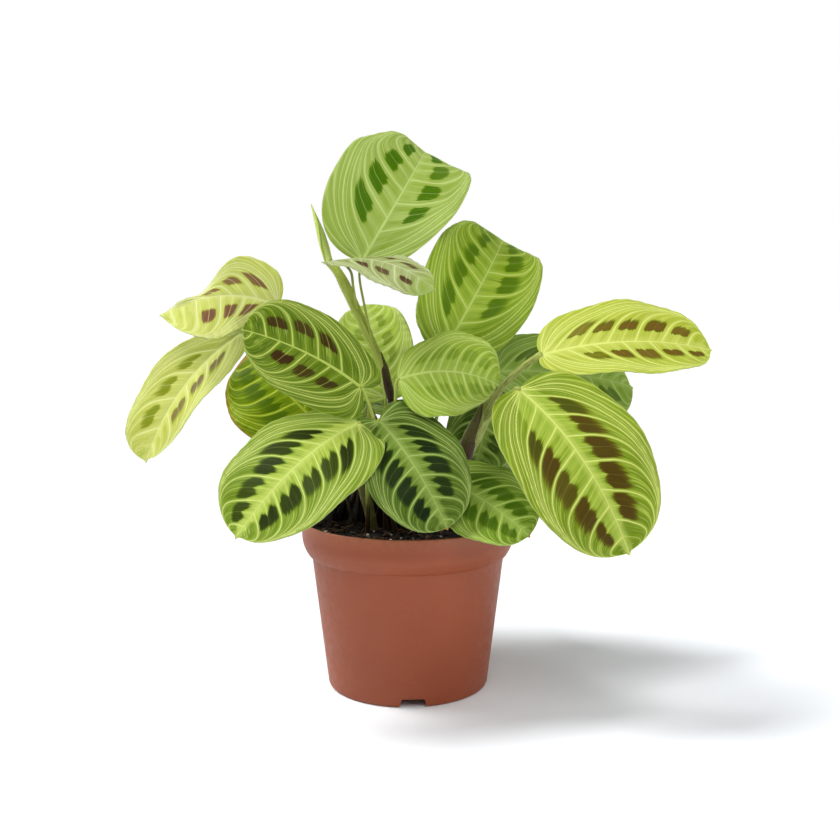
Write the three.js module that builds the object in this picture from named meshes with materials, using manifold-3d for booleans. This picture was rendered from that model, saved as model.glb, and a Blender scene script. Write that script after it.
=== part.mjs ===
// Potted prayer plant: a nursery pot filled with peat, shoots that stand in it, and broad leaf blades.
// Millimetres, +Z up, the front is -Y. The origin is the middle of the pot's foot, on the ground.

import * as THREE from 'three';
import { mergeVertices } from 'three/addons/utils/BufferGeometryUtils.js';
import Module from 'manifold-3d';

const wasm = await Module();
wasm.setup();

// Clearance between pieces that rest on or in one another
const GAP = 0.3;

// Pot: a tapered body with a taller, wider rim band
const POT_HEIGHT = 95;
const RIM_RADIUS = 60;
const RIM_BAND = 12;
const LIP_ROUND = 0.8;
const SHOULDER_HEIGHT = 75;
const SHOULDER_RADIUS = 54.5;
const FOOT_RADIUS = 45.4;
const FOOT_ROUND = 2.4;
const WALL = 1.5;
const POT_SIDES = 44;

// Pot floor, its foot ring, drain notches and drain holes
const FLOOR_UNDERSIDE = 4.4;
const FLOOR_THICKNESS = 1.6;
const FOOT_RING = 3.4;
const PAD_RADIUS = 12;
const NOTCHES = 3;
const NOTCH_TURN = THREE.MathUtils.degToRad(-86);
const NOTCH_WIDTH = 13;
const NOTCH_HEIGHT = 5;
const NOTCH_FLARE = 2;
const HOLES = 6;
const HOLE_RADIUS = 4;
const HOLE_CIRCLE = 29;

// Soil: its mean level, the height of its lumps, and how deep the stems stand in it
const SOIL_LEVEL = 87;
const LUMP = 1.1;
const SOIL_SIDES = 36;
const SOIL_RINGS = 6;
const HOLE_SIDES = 8;
const STEM_DEPTH = 11;

// Leaf blades: thickness, and the number of rows along and across a blade
const BLADE = 0.8;
const BLADE_ROWS = 11;
const BLADE_COLUMNS = 6;
const BASE_START = 0.004;
const TIP_END = 0.985;
const KNEE = 7;

// Colours of the finished plant, with the roughness of each
const FINISHES = {
  pot: { color: '#8f5139', roughness: 0.62 },
  soil: { color: '#2a211b', roughness: 1 },
  stem: { color: '#86974b', roughness: 0.5 },
  sheath: { color: '#5f5138', roughness: 0.5 },
  pale: { color: '#a3bf63', roughness: 0.45 },
  lime: { color: '#b3c54a', roughness: 0.45 },
  green: { color: '#7d9c3c', roughness: 0.45 },
  deep: { color: '#55803a', roughness: 0.45 },
  sage: { color: '#8fa676', roughness: 0.5 },
};

const vec = (p) => new THREE.Vector3(...p);
const smooth = (x) => THREE.MathUtils.clamp(x, 0, 1);

// Share of the full half width at s, from 0 at the petiole to 1 at the tip:
// a blunt round base, nearly even sides, and a small drip tip.
function halfWidth(s) {
  if (s < 0.5) {
    return Math.sqrt(1 - Math.pow(1 - 2 * s, 2.3));
  }
  const u = 2 * s - 1;
  const oval = Math.sqrt(Math.max(0, 1 - Math.pow(Math.min(u, 0.965) / 0.965, 2.4)));
  const drip = 0.15 * smooth((1 - u) / 0.12) * smooth((u - 0.6) / 0.25);
  return Math.cbrt(oval ** 3 + drip ** 3);
}

// A leaf blade laid along an arched midrib. s runs from base to tip and v from one edge to the other.
class Blade {
  constructor(name, tone, base, tip, form) {
    const plain = {
      arch: 0.1, sway: 0, fold: 4, hook: 0, bias: 0, skew: 0, nip: 0, twist: 0,
      wave: 1.2, waves: 2.5, phase: 0,
    };
    Object.assign(this, { name, tone }, plain, form);
    this.base = vec(base);
    this.tip = vec(tip);
    const chord = this.tip.clone().sub(this.base);
    const along = chord.clone().normalize();
    this.length = chord.length();
    this.up = vec(form.face).normalize();
    this.up.addScaledVector(along, -this.up.dot(along)).normalize();
    this.side = new THREE.Vector3().crossVectors(this.up, along);
    const lift = (share, height) => this.base.clone()
      .addScaledVector(chord, share)
      .addScaledVector(this.up, height * this.length)
      .addScaledVector(this.side, this.sway * 1.33 * this.length);
    this.midrib = new THREE.CubicBezierCurve3(
      this.base,
      lift(0.33, this.arch * 1.33),
      lift(0.67, this.arch * 1.33 + this.hook),
      this.tip,
    );
  }

  // Direction of the midrib, blade normal and direction across the blade at s
  frame(s) {
    const along = this.midrib.getTangent(s);
    const normal = this.up.clone().addScaledVector(along, -this.up.dot(along)).normalize();
    normal.applyAxisAngle(along, -THREE.MathUtils.degToRad(this.twist) * (s - 0.5));
    const across = new THREE.Vector3().crossVectors(normal, along);
    return { along, normal, across };
  }

  // A point of the blade's middle surface
  at(s, v) {
    const { normal, across } = this.frame(s);
    const side = Math.sign(v);
    const share = halfWidth(smooth(s + this.bias * side * s * (1 - s)));
    const nipped = 1 - (side * this.nip > 0 ? Math.abs(this.nip) * s : 0);
    const reach = Math.abs(v) * share * nipped * 0.5 * this.width * (1 + this.skew * side);
    const fold = THREE.MathUtils.degToRad(this.fold);
    const turn = 2 * Math.PI * (this.waves * s + this.phase + (side < 0 ? 0.25 : 0));
    const ripple = this.wave * v * v * Math.sin(turn) * smooth(1.5 * halfWidth(s));
    return this.midrib.getPoint(s)
      .addScaledVector(across, side * reach * Math.cos(fold))
      .addScaledVector(normal, reach * Math.sin(fold) + ripple);
  }

  // Unit normal of the blade at s and v, from its neighbours
  normalAt(s, v) {
    const step = 0.01;
    const down = this.at(Math.min(s + step, 1), v).sub(this.at(Math.max(s - step, 0), v));
    const over = this.at(s, Math.min(v + step, 1)).sub(this.at(s, Math.max(v - step, -1)));
    return over.cross(down).normalize().multiplyScalar(-1);
  }

  geometry() {
    const rings = [];
    for (let i = 0; i <= BLADE_ROWS; i += 1) {
      const even = i / BLADE_ROWS;
      const eased = 0.45 * even + 0.55 * (0.5 - 0.5 * Math.cos(Math.PI * even));
      const s = THREE.MathUtils.lerp(BASE_START, TIP_END, eased);
      const upper = [];
      const lower = [];
      for (let j = 0; j <= BLADE_COLUMNS; j += 1) {
        const v = THREE.MathUtils.lerp(1, -1, j / BLADE_COLUMNS);
        const point = this.at(s, v);
        const half = this.normalAt(s, 0.9 * v).multiplyScalar(BLADE / 2);
        upper.push(point.clone().add(half));
        lower.unshift(point.clone().sub(half));
      }
      rings.push([...upper, ...lower]);
    }
    return loft(rings);
  }
}

// Joins closed rings of points into a solid. The second half of each ring faces the first half,
// and is split into triangles alike, so that the two faces of a thin blade never cross.
function loft(rings) {
  const count = rings[0].length;
  const points = rings.flat().flatMap((p) => [p.x, p.y, p.z]);
  const index = [];
  for (let i = 0; i < rings.length - 1; i += 1) {
    for (let j = 0; j < count; j += 1) {
      const a = i * count + j;
      const b = i * count + ((j + 1) % count);
      const c = b + count;
      const d = a + count;
      if (j < count / 2) index.push(a, b, c, a, c, d);
      else index.push(a, b, d, b, c, d);
    }
  }
  const last = (rings.length - 1) * count;
  for (let k = 0; k < count / 2 - 1; k += 1) {
    const far = count - 1 - k;
    index.push(k, far, k + 1, k + 1, far, far - 1);
    index.push(last + k, last + k + 1, last + far, last + k + 1, last + far - 1, last + far);
  }
  const geometry = new THREE.BufferGeometry();
  geometry.setAttribute('position', new THREE.Float32BufferAttribute(points, 3));
  geometry.setIndex(index);
  return geometry;
}

// A round stem along a smooth route, with its radius eased from one value to the next
function stem(route, radii, sides, spacing) {
  const curve = new THREE.CatmullRomCurve3(route.map((p) => (p.isVector3 ? p : vec(p))));
  const steps = Math.max(4, Math.round(curve.getLength() / spacing));
  const frames = curve.computeFrenetFrames(steps);
  const rings = [];
  for (let i = 0; i <= steps; i += 1) {
    const place = (i / steps) * (radii.length - 1);
    const low = Math.min(Math.floor(place), radii.length - 2);
    const radius = THREE.MathUtils.lerp(radii[low], radii[low + 1], place - low);
    const centre = curve.getPointAt(i / steps);
    const ring = [];
    for (let j = 0; j < sides; j += 1) {
      const turn = (2 * Math.PI * j) / sides;
      ring.push(centre.clone()
        .addScaledVector(frames.normals[i], radius * Math.cos(turn))
        .addScaledVector(frames.binormals[i], radius * Math.sin(turn)));
    }
    rings.push(ring);
  }
  return loft(rings);
}

// Turns a closed geometry into a solid that can be joined and cut
function toSolid(geometry) {
  const bare = geometry.clone();
  bare.deleteAttribute('normal');
  bare.deleteAttribute('uv');
  const merged = mergeVertices(bare, 1e-4);
  const index = merged.index.array;
  const kept = [];
  for (let i = 0; i < index.length; i += 3) {
    const [a, b, c] = [index[i], index[i + 1], index[i + 2]];
    if (a !== b && b !== c && c !== a) kept.push(a, b, c);
  }
  return new wasm.Manifold(new wasm.Mesh({
    numProp: 3,
    vertProperties: new Float32Array(merged.attributes.position.array),
    triVerts: new Uint32Array(kept),
  }));
}

function toGeometry(solid) {
  const { vertProperties, triVerts } = solid.getMesh();
  const geometry = new THREE.BufferGeometry();
  geometry.setAttribute('position', new THREE.BufferAttribute(vertProperties, 3));
  geometry.setIndex(new THREE.BufferAttribute(triVerts, 1));
  return geometry;
}

function makeMesh(name, finish, geometry) {
  const material = new THREE.MeshStandardMaterial({ ...FINISHES[finish], metalness: 0 });
  const mesh = new THREE.Mesh(geometry, material);
  mesh.name = name;
  return mesh;
}

const polar = (radius, turn, z) => [radius * Math.cos(turn), radius * Math.sin(turn), z];
const upright = (geometry) => geometry.rotateX(Math.PI / 2);

// Radius of the pot's outside at a height below the shoulder
function bodyRadius(z) {
  return THREE.MathUtils.mapLinear(z, 0, SHOULDER_HEIGHT, FOOT_RADIUS, SHOULDER_RADIUS);
}

// The pot's outside, from the foot ring up to the lip
function outerProfile() {
  const bandFoot = POT_HEIGHT - RIM_BAND;
  const line = new THREE.Path();
  line.moveTo(FOOT_RADIUS - FOOT_ROUND, 0);
  line.quadraticCurveTo(FOOT_RADIUS, 0, bodyRadius(FOOT_ROUND), FOOT_ROUND);
  line.lineTo(SHOULDER_RADIUS, SHOULDER_HEIGHT);
  line.lineTo(SHOULDER_RADIUS + 1.3, SHOULDER_HEIGHT + 1);
  line.quadraticCurveTo(RIM_RADIUS, bandFoot - 5, RIM_RADIUS, bandFoot);
  line.lineTo(RIM_RADIUS, POT_HEIGHT - LIP_ROUND);
  line.quadraticCurveTo(RIM_RADIUS, POT_HEIGHT, RIM_RADIUS - LIP_ROUND, POT_HEIGHT);
  return line.getPoints(2);
}

// The pot's inside, from the lip down to the floor, inset by a share for what fills it
function innerProfile(inset) {
  const floor = FLOOR_UNDERSIDE + FLOOR_THICKNESS + inset;
  const rim = RIM_RADIUS - WALL - inset;
  const body = SHOULDER_RADIUS - WALL - inset;
  return [
    [rim - 0.2, POT_HEIGHT - WALL],
    [rim - 0.2, POT_HEIGHT - RIM_BAND + inset],
    [body, SHOULDER_HEIGHT - WALL + inset],
    [bodyRadius(floor + 2) - WALL - inset, floor + 2],
    [bodyRadius(floor) - WALL - inset - 1.6, floor],
    [0, floor],
  ].map(([x, y]) => new THREE.Vector2(x, y));
}

function makePot() {
  const under = [
    [0, 0],
    [PAD_RADIUS, 0],
    [PAD_RADIUS + 1, FLOOR_UNDERSIDE],
    [FOOT_RADIUS - FOOT_RING - 0.6, FLOOR_UNDERSIDE],
    [FOOT_RADIUS - FOOT_RING, 0],
  ].map(([x, y]) => new THREE.Vector2(x, y));
  const lip = new THREE.Vector2(RIM_RADIUS - WALL - 0.2 + LIP_ROUND / 2, POT_HEIGHT);
  const profile = [...under, ...outerProfile(), lip, ...innerProfile(0)];
  let pot = toSolid(upright(new THREE.LatheGeometry(profile, POT_SIDES)));
  for (let i = 0; i < NOTCHES; i += 1) {
    pot = pot.subtract(toSolid(notchCutter(NOTCH_TURN + (2 * Math.PI * i) / NOTCHES)));
  }
  for (let i = 0; i < HOLES; i += 1) {
    const turn = (2 * Math.PI * i) / HOLES;
    const hole = upright(new THREE.CylinderGeometry(HOLE_RADIUS, HOLE_RADIUS, 4 * FLOOR_THICKNESS, 12));
    hole.translate(...polar(HOLE_CIRCLE, turn, FLOOR_UNDERSIDE + FLOOR_THICKNESS / 2));
    pot = pot.subtract(toSolid(hole));
  }
  return makeMesh('pot', 'pot', toGeometry(pot));
}

// A drain notch through the foot ring, a little wider at the ground
function notchCutter(turn) {
  const outline = new THREE.Shape([
    new THREE.Vector2(-NOTCH_WIDTH / 2 - NOTCH_FLARE / 2, -1),
    new THREE.Vector2(NOTCH_WIDTH / 2 + NOTCH_FLARE / 2, -1),
    new THREE.Vector2(NOTCH_WIDTH / 2, NOTCH_HEIGHT),
    new THREE.Vector2(-NOTCH_WIDTH / 2, NOTCH_HEIGHT),
  ]);
  const depth = 3 * FOOT_RING;
  const cutter = new THREE.ExtrudeGeometry(outline, { depth, bevelEnabled: false });
  return upright(cutter)
    .rotateZ(Math.PI / 2)
    .translate(FOOT_RADIUS - FOOT_RING - 2, 0, 0)
    .rotateZ(turn);
}

// Uneven top of the soil, a little lower towards the pot's wall
function soilHeight(x, y) {
  const lumps = Math.sin(0.21 * x + 1.3) * Math.cos(0.17 * y - 0.4)
    + 0.6 * Math.sin(0.43 * x - 0.38 * y + 2)
    + 0.4 * Math.cos(0.52 * y + 0.35 * x);
  return SOIL_LEVEL + 0.5 * LUMP * lumps - 1.2 * Math.pow(Math.hypot(x, y) / RIM_RADIUS, 4);
}

function makeSoil(holes) {
  const wall = innerProfile(GAP).reverse();
  const rim = wall.pop();
  const edge = new THREE.Vector2(rim.x, SOIL_LEVEL - 1.5);
  const top = [];
  for (let i = 1; i <= SOIL_RINGS; i += 1) {
    top.push(new THREE.Vector2(edge.x * (1 - i / SOIL_RINGS), SOIL_LEVEL));
  }
  const geometry = upright(new THREE.LatheGeometry([...wall, edge, ...top], SOIL_SIDES));
  const place = geometry.attributes.position;
  for (let i = 0; i < place.count; i += 1) {
    if (place.getZ(i) > SOIL_LEVEL - 0.1) {
      place.setZ(i, soilHeight(place.getX(i), place.getY(i)));
    }
  }
  let soil = toSolid(geometry);
  for (const { foot, radius } of holes) {
    const bore = (radius + GAP) / Math.cos(Math.PI / HOLE_SIDES);
    const hole = upright(new THREE.CylinderGeometry(bore, bore, 2 * STEM_DEPTH, HOLE_SIDES));
    hole.translate(foot[0], foot[1], SOIL_LEVEL);
    soil = soil.subtract(toSolid(hole));
  }
  return makeMesh('soil', 'soil', toGeometry(soil));
}

// Leaf blades, with the petiole end, the tip and the way the upper face looks
const BLADES = [
  new Blade('leaf_top', 'pale', [-26, 5, 239], [10, 58, 307],
    { face: [0.3, -1, 0.35], width: 76, arch: 0.17, fold: 8, bias: 0.5, hook: 0.05, wave: 1.5 }),
  new Blade('leaf_small_top', 'sage', [-43, -10, 239], [15, -42, 223],
    { face: [0.12, -0.3, 1], width: 42, fold: -6, hook: 0.04, wave: 0.8 }),
  new Blade('leaf_upper_right', 'green', [20, 0, 189], [57, 58, 251],
    { face: [0.25, -1, 0.4], width: 68, arch: 0.15, fold: 6, bias: 0.25, hook: 0.05, wave: 1.5 }),
  new Blade('leaf_centre', 'pale', [-5, -30, 177], [50, -25, 171],
    { face: [0, -1, 0.6], width: 52, arch: 0.14, fold: -4, sway: 0.05 }),
  new Blade('leaf_right_high', 'lime', [71, -30, 189], [164, -25, 191],
    { face: [0, -1, 0.9], width: 50, fold: 0, skew: 0.16 }),
  new Blade('leaf_right_front', 'lime', [58, -45, 172], [110, -85, 93],
    { face: [0.15, -1, 0.5], width: 71, arch: 0.13, fold: 0, sway: 0.02, bias: 0.1 }),
  new Blade('leaf_right_back', 'deep', [48, 20, 177], [135, 40, 166],
    { face: [0, -1, 0.7], width: 48, arch: 0.08, fold: 0, bias: 0.5 }),
  new Blade('leaf_front_left', 'green', [-28, -40, 154], [-84, -84, 101],
    { face: [-0.25, -1, 0.6], width: 60, arch: 0.13, fold: 0, bias: 0.4 }),
  new Blade('leaf_front_mid', 'deep', [-16, -38, 154], [21, -72, 103],
    { face: [0.2, -1, 0.65], width: 54, arch: 0.12, fold: 0 }),
  new Blade('leaf_left_mid', 'deep', [-19, -40, 171], [-85, -50, 203],
    { face: [0, -1, 0.35], width: 50, arch: 0.08, fold: 0, sway: -0.04, bias: 0.3 }),
  new Blade('leaf_left_low', 'lime', [-89, -20, 201], [-137, -45, 133],
    { face: [-0.45, -1, 0.1], width: 37, arch: 0.08, fold: 12, sway: -0.05, skew: -0.08, bias: 0.4 }),
  new Blade('leaf_left_high', 'lime', [-71, -5, 215], [-129, -40, 210],
    { face: [-0.1, -1, 0.6], width: 56, arch: 0.08, sway: -0.08, bias: -0.9, nip: -0.85, twist: -40 }),
  new Blade('leaf_left_back', 'green', [-50, -4, 149], [-94, 26, 188],
    { face: [-0.15, -1, 0.25], width: 67, arch: 0.08, fold: 0 }),
  new Blade('leaf_centre_back', 'pale', [-13, 12, 162], [-26, 48, 216],
    { face: [0, -1, 0.3], width: 45, fold: 0 }),
  new Blade('leaf_right_low', 'deep', [16, -28, 122], [63, -66, 98],
    { face: [0.15, -1, 0.9], width: 50, fold: 0 }),
  new Blade('leaf_right_mid', 'deep', [52, 25, 162], [38, 14, 118],
    { face: [0, -1, 0.4], width: 42, arch: 0.08, fold: 0 }),
  new Blade('leaf_back_left', 'green', [-34, 22, 150], [-78, 78, 172],
    { face: [-0.3, 0.6, 1], width: 50, arch: 0.12 }),
  new Blade('leaf_back_mid', 'pale', [-8, 38, 150], [-14, 102, 142],
    { face: [-0.1, 0.5, 1], width: 48, arch: 0.14 }),
  new Blade('leaf_back_right', 'green', [42, 30, 152], [84, 86, 150],
    { face: [0.3, 0.5, 1], width: 52, arch: 0.12 }),
  new Blade('leaf_back_high', 'lime', [22, 28, 196], [36, 84, 222],
    { face: [0.1, 0.5, 1], width: 46, arch: 0.12 }),
  new Blade('leaf_back_low_left', 'deep', [-22, 34, 122], [-62, 84, 98],
    { face: [-0.3, 0.6, 1], width: 50, arch: 0.14 }),
  new Blade('leaf_back_low_right', 'deep', [20, 36, 120], [58, 88, 96],
    { face: [0.3, 0.6, 1], width: 50, arch: 0.14 }),
  new Blade('leaf_back_tall', 'green', [-20, 30, 178], [-42, 88, 202],
    { face: [-0.2, 0.5, 1], width: 50, arch: 0.13 }),
];

// Shoots: a sheathed stem from its foot in the soil, petioles that leave it, and sheaths that
// wrap it and end in a point. Each radius belongs to the point of the route beside it.
const SHOOTS = [
  {
    name: 'shoot_tall', finish: 'stem', foot: [2, 8], radii: [3.1, 3, 2.6, 2.4, 2.5, 2.4, 2.3],
    route: [[-3, 8, 130], [-11, 4, 170], [-20, 6, 199], [-31, 9, 224], [-39, 11.5, 231.5], [-45, 13, 240]],
    sheaths: [{ route: [[-5, 7, 146], [-9, 5, 162], [-14, 2, 180]], radii: [3.4, 3.6, 0.5] }],
    petioles: [
      { blade: 'leaf_top', radius: 1, from: [[-25, 7, 210], [-31, 5, 222], [-31, 1, 232]] },
      { blade: 'leaf_small_top', radius: 1, from: [[-16, 4, 186], [-24, -4, 214], [-32, -8, 233]] },
    ],
  },
  {
    name: 'shoot_right', finish: 'sheath', foot: [18, -4], radii: [4, 4, 3.8, 3],
    route: [[24, -6, 108], [33, -10, 136], [47, -12, 164]],
    sheaths: [
      { route: [[29, -9, 124], [36, -13, 146], [42, -16, 164]], radii: [3.9, 2.8, 0.4] },
      { route: [[30, -7, 128], [40, -8, 152], [49, -7, 171]], radii: [3.9, 2.6, 0.4] },
    ],
    petioles: [
      { blade: 'leaf_right_front', radius: 1.3, from: [[40, -11, 150], [50, -17, 168]] },
      { blade: 'leaf_right_high', radius: 1.3, from: [[40, -11, 150], [54, -16, 173]] },
      { blade: 'leaf_right_back', radius: 1.3, from: [[40, -11, 150], [43, -2, 170]] },
      { blade: 'leaf_right_mid', radius: 1.1, from: [[30, -9, 128], [40, 4, 148]] },
    ],
  },
  {
    name: 'shoot_left', finish: 'sheath', foot: [-20, -3], radii: [2.8, 2.7, 2.4, 1.9],
    route: [[-26, -6, 112], [-41, -12, 156], [-66, -13, 190]],
    sheaths: [{ route: [[-35, -9, 138], [-46, -15, 160], [-58, -19, 174]], radii: [2.8, 2.4, 0.4] }],
    petioles: [
      { blade: 'leaf_left_low', radius: 1.2, from: [[-58, -13, 180], [-76, -13, 202]] },
      { blade: 'leaf_left_high', radius: 1.2, from: [[-58, -13, 180], [-66, -9, 206]] },
      { blade: 'leaf_left_back', radius: 1.2, from: [[-27, -6, 116], [-38, -3, 136]] },
    ],
  },
];

// Petioles that rise from the soil on their own, each with its foot and the points on its way
const RISERS = [
  { blade: 'leaf_centre', foot: [0, -6], way: [[-1, -16, 122], [-8, -24, 156]] },
  { blade: 'leaf_left_mid', foot: [-12, -11], way: [[-13, -24, 125], [-12, -33, 152]] },
  { blade: 'leaf_front_left', foot: [-22, -15], way: [[-22, -24, 122]] },
  { blade: 'leaf_front_mid', foot: [-6, -19], way: [[-16, -25, 124]] },
  { blade: 'leaf_right_low', foot: [9, -15], way: [[9, -20, 106]] },
  { blade: 'leaf_upper_right', foot: [9, 1], way: [[12, 2, 130], [14, 2, 160]] },
  { blade: 'leaf_centre_back', foot: [-8, 12], way: [[-12, 12, 125]] },
  { blade: 'leaf_back_left', foot: [-17, 16], way: [[-24, 17, 125]] },
  { blade: 'leaf_back_mid', foot: [-4, 22], way: [[-6, 26, 124]] },
  { blade: 'leaf_back_right', foot: [22, 16], way: [[31, 22, 126]] },
  { blade: 'leaf_back_high', foot: [12, 12], way: [[15, 17, 130], [18, 22, 165]] },
  { blade: 'leaf_back_low_left', foot: [-14, 27], way: [[-17, 30, 104]] },
  { blade: 'leaf_back_tall', foot: [3, 18], way: [[-3, 20, 120], [-12, 22, 150]] },
  { blade: 'leaf_back_low_right', foot: [12, 26], way: [[15, 31, 104]] },
];
const RISER_RADII = [1.9, 1.7, 1.3, 1.1];

// The young leaf, still rolled, that the tall shoot ends in
const SPIKE = {
  route: [[-45.3, 13.1, 240.4], [-48.5, 14, 245.5], [-52, 15.5, 257], [-55, 17, 272]],
  radii: [2.3, 2.7, 2.2, 0.3],
};

const byName = new Map(BLADES.map((blade) => [blade.name, blade]));

// End of a petiole: it bends into the line of the midrib and stops at the blade's base
function petioleEnd(name) {
  const blade = byName.get(name);
  const along = blade.midrib.getTangent(0);
  return [blade.base.clone().addScaledVector(along, -KNEE), blade.base.clone()];
}

// The upright stretch of a stem that stands in its hole in the soil
function footing([x, y]) {
  const heights = [SOIL_LEVEL - STEM_DEPTH + GAP, SOIL_LEVEL - STEM_DEPTH / 2, SOIL_LEVEL + 3];
  return heights.map((z) => [x, y, z]);
}

function makeShoot({ name, finish, foot, route, radii, sheaths, petioles }) {
  const trunk = stem([...footing(foot), ...route], [radii[0], radii[0], ...radii], 8, 9);
  let body = toSolid(trunk);
  for (const sheath of sheaths) {
    body = body.add(toSolid(stem(sheath.route, sheath.radii, 8, 8)));
  }
  for (const { blade, radius, from } of petioles) {
    body = body.add(toSolid(stem([...from, ...petioleEnd(blade)], [radius, radius], 6, 8)));
  }
  return makeMesh(name, finish, toGeometry(body));
}

function makeRiser({ blade, foot, way }) {
  const route = [...footing(foot), ...way, ...petioleEnd(blade)];
  return makeMesh(blade.replace('leaf', 'petiole'), 'stem', stem(route, RISER_RADII, 6, 10));
}

const plant = new THREE.Group();
SHOOTS.forEach((shoot) => plant.add(makeShoot(shoot)));
RISERS.forEach((riser) => plant.add(makeRiser(riser)));
BLADES.forEach((blade) => plant.add(makeMesh(blade.name, blade.tone, blade.geometry())));
plant.add(makeMesh('leaf_rolled', 'stem', stem(SPIKE.route, SPIKE.radii, 8, 4)));
plant.add(makeSoil([
  ...SHOOTS.map(({ foot, radii }) => ({ foot, radius: radii[0] })),
  ...RISERS.map(({ foot }) => ({ foot, radius: RISER_RADII[0] })),
]));
plant.add(makePot());

export default plant;
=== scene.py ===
"""Dresses the potted prayer plant: veined leaf blades, sheathed shoots, peat and a plastic nursery pot.

Sizes are in millimetres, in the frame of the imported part, and turn into metres as a mesh is made.
"""

import logging
import math
from collections.abc import Sequence
from dataclasses import dataclass, replace
from enum import Enum

import bmesh
import bpy
import numpy as np
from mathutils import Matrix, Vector


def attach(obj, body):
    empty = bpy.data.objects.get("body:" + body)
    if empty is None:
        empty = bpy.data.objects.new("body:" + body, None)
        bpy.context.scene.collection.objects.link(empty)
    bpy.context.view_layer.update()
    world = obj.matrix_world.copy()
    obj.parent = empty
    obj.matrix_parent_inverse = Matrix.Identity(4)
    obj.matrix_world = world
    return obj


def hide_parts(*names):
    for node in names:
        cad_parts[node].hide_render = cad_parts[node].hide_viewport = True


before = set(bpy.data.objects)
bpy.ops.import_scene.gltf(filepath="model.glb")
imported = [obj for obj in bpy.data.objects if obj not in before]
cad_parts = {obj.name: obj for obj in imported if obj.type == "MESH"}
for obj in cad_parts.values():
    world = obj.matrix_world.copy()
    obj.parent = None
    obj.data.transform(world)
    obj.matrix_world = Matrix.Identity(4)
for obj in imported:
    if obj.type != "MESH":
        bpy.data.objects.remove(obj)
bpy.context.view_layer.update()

MM = 0.001
ROOT = "root"
UP = np.array([0.0, 0.0, 1.0])

Point = tuple[float, float, float]
# Red, green and blue as a screen shows them, 0 to 255
Colour = tuple[float, float, float]

log = logging.getLogger("prayer_plant")


def linear(colour: Colour) -> Colour:
    """Turns a display colour into linear light.

    Args:
        colour: Red, green and blue, 0 to 255.

    Returns:
        The same as shares of linear light.
    """
    shares = [value / 255 for value in colour]
    return tuple(s / 12.92 if s <= 0.04045 else ((s + 0.055) / 1.055) ** 2.4 for s in shares)


def unit(vector: np.ndarray) -> np.ndarray:
    """Scales vectors to length one along their last axis."""
    return vector / np.maximum(np.linalg.norm(vector, axis=-1, keepdims=True), 1e-9)


def smooth(value: np.ndarray) -> np.ndarray:
    """Eases a share from 0 to 1, with flat ends."""
    held = np.clip(value, 0, 1)
    return held * held * (3 - 2 * held)


def evenly(share: np.ndarray, values: Sequence[float]) -> np.ndarray:
    """Reads values that are spread evenly from 0 to 1, at the shares given."""
    return np.interp(share, np.linspace(0, 1, len(values)), values)


def placed(name: str, data: bpy.types.ID) -> bpy.types.Object:
    """Makes an object and links it to the scene.

    Args:
        name: The object's name.
        data: Its mesh, light or camera.

    Returns:
        The object.
    """
    made = bpy.data.objects.new(name, data)
    bpy.context.scene.collection.objects.link(made)
    return made


# Materials


class Signal:
    """An output of a material's node, with arithmetic that adds the nodes it needs."""

    def __init__(self, paint: "Paint", socket: bpy.types.NodeSocket) -> None:
        """Keeps the socket and the paint that it belongs to."""
        self.paint = paint
        self.socket = socket

    def __add__(self, other: "Signal | float") -> "Signal":
        """Adds a number or another signal."""
        return self.paint.math("ADD", self, other)

    def __sub__(self, other: "Signal | float") -> "Signal":
        """Takes a number or another signal away."""
        return self.paint.math("SUBTRACT", self, other)

    def __rsub__(self, other: float) -> "Signal":
        """Takes this signal away from a number."""
        return self.paint.math("SUBTRACT", other, self)

    def __mul__(self, other: "Signal | float") -> "Signal":
        """Multiplies by a number or another signal."""
        return self.paint.math("MULTIPLY", self, other)

    def __truediv__(self, other: "Signal | float") -> "Signal":
        """Divides by a number or another signal."""
        return self.paint.math("DIVIDE", self, other)

    def size(self) -> "Signal":
        """Gives the value without its sign."""
        return self.paint.math("ABSOLUTE", self, 0.0)

    def at_least(self, other: "Signal | float") -> "Signal":
        """Gives the value, or the other one where that is higher."""
        return self.paint.math("MAXIMUM", self, other)


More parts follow.
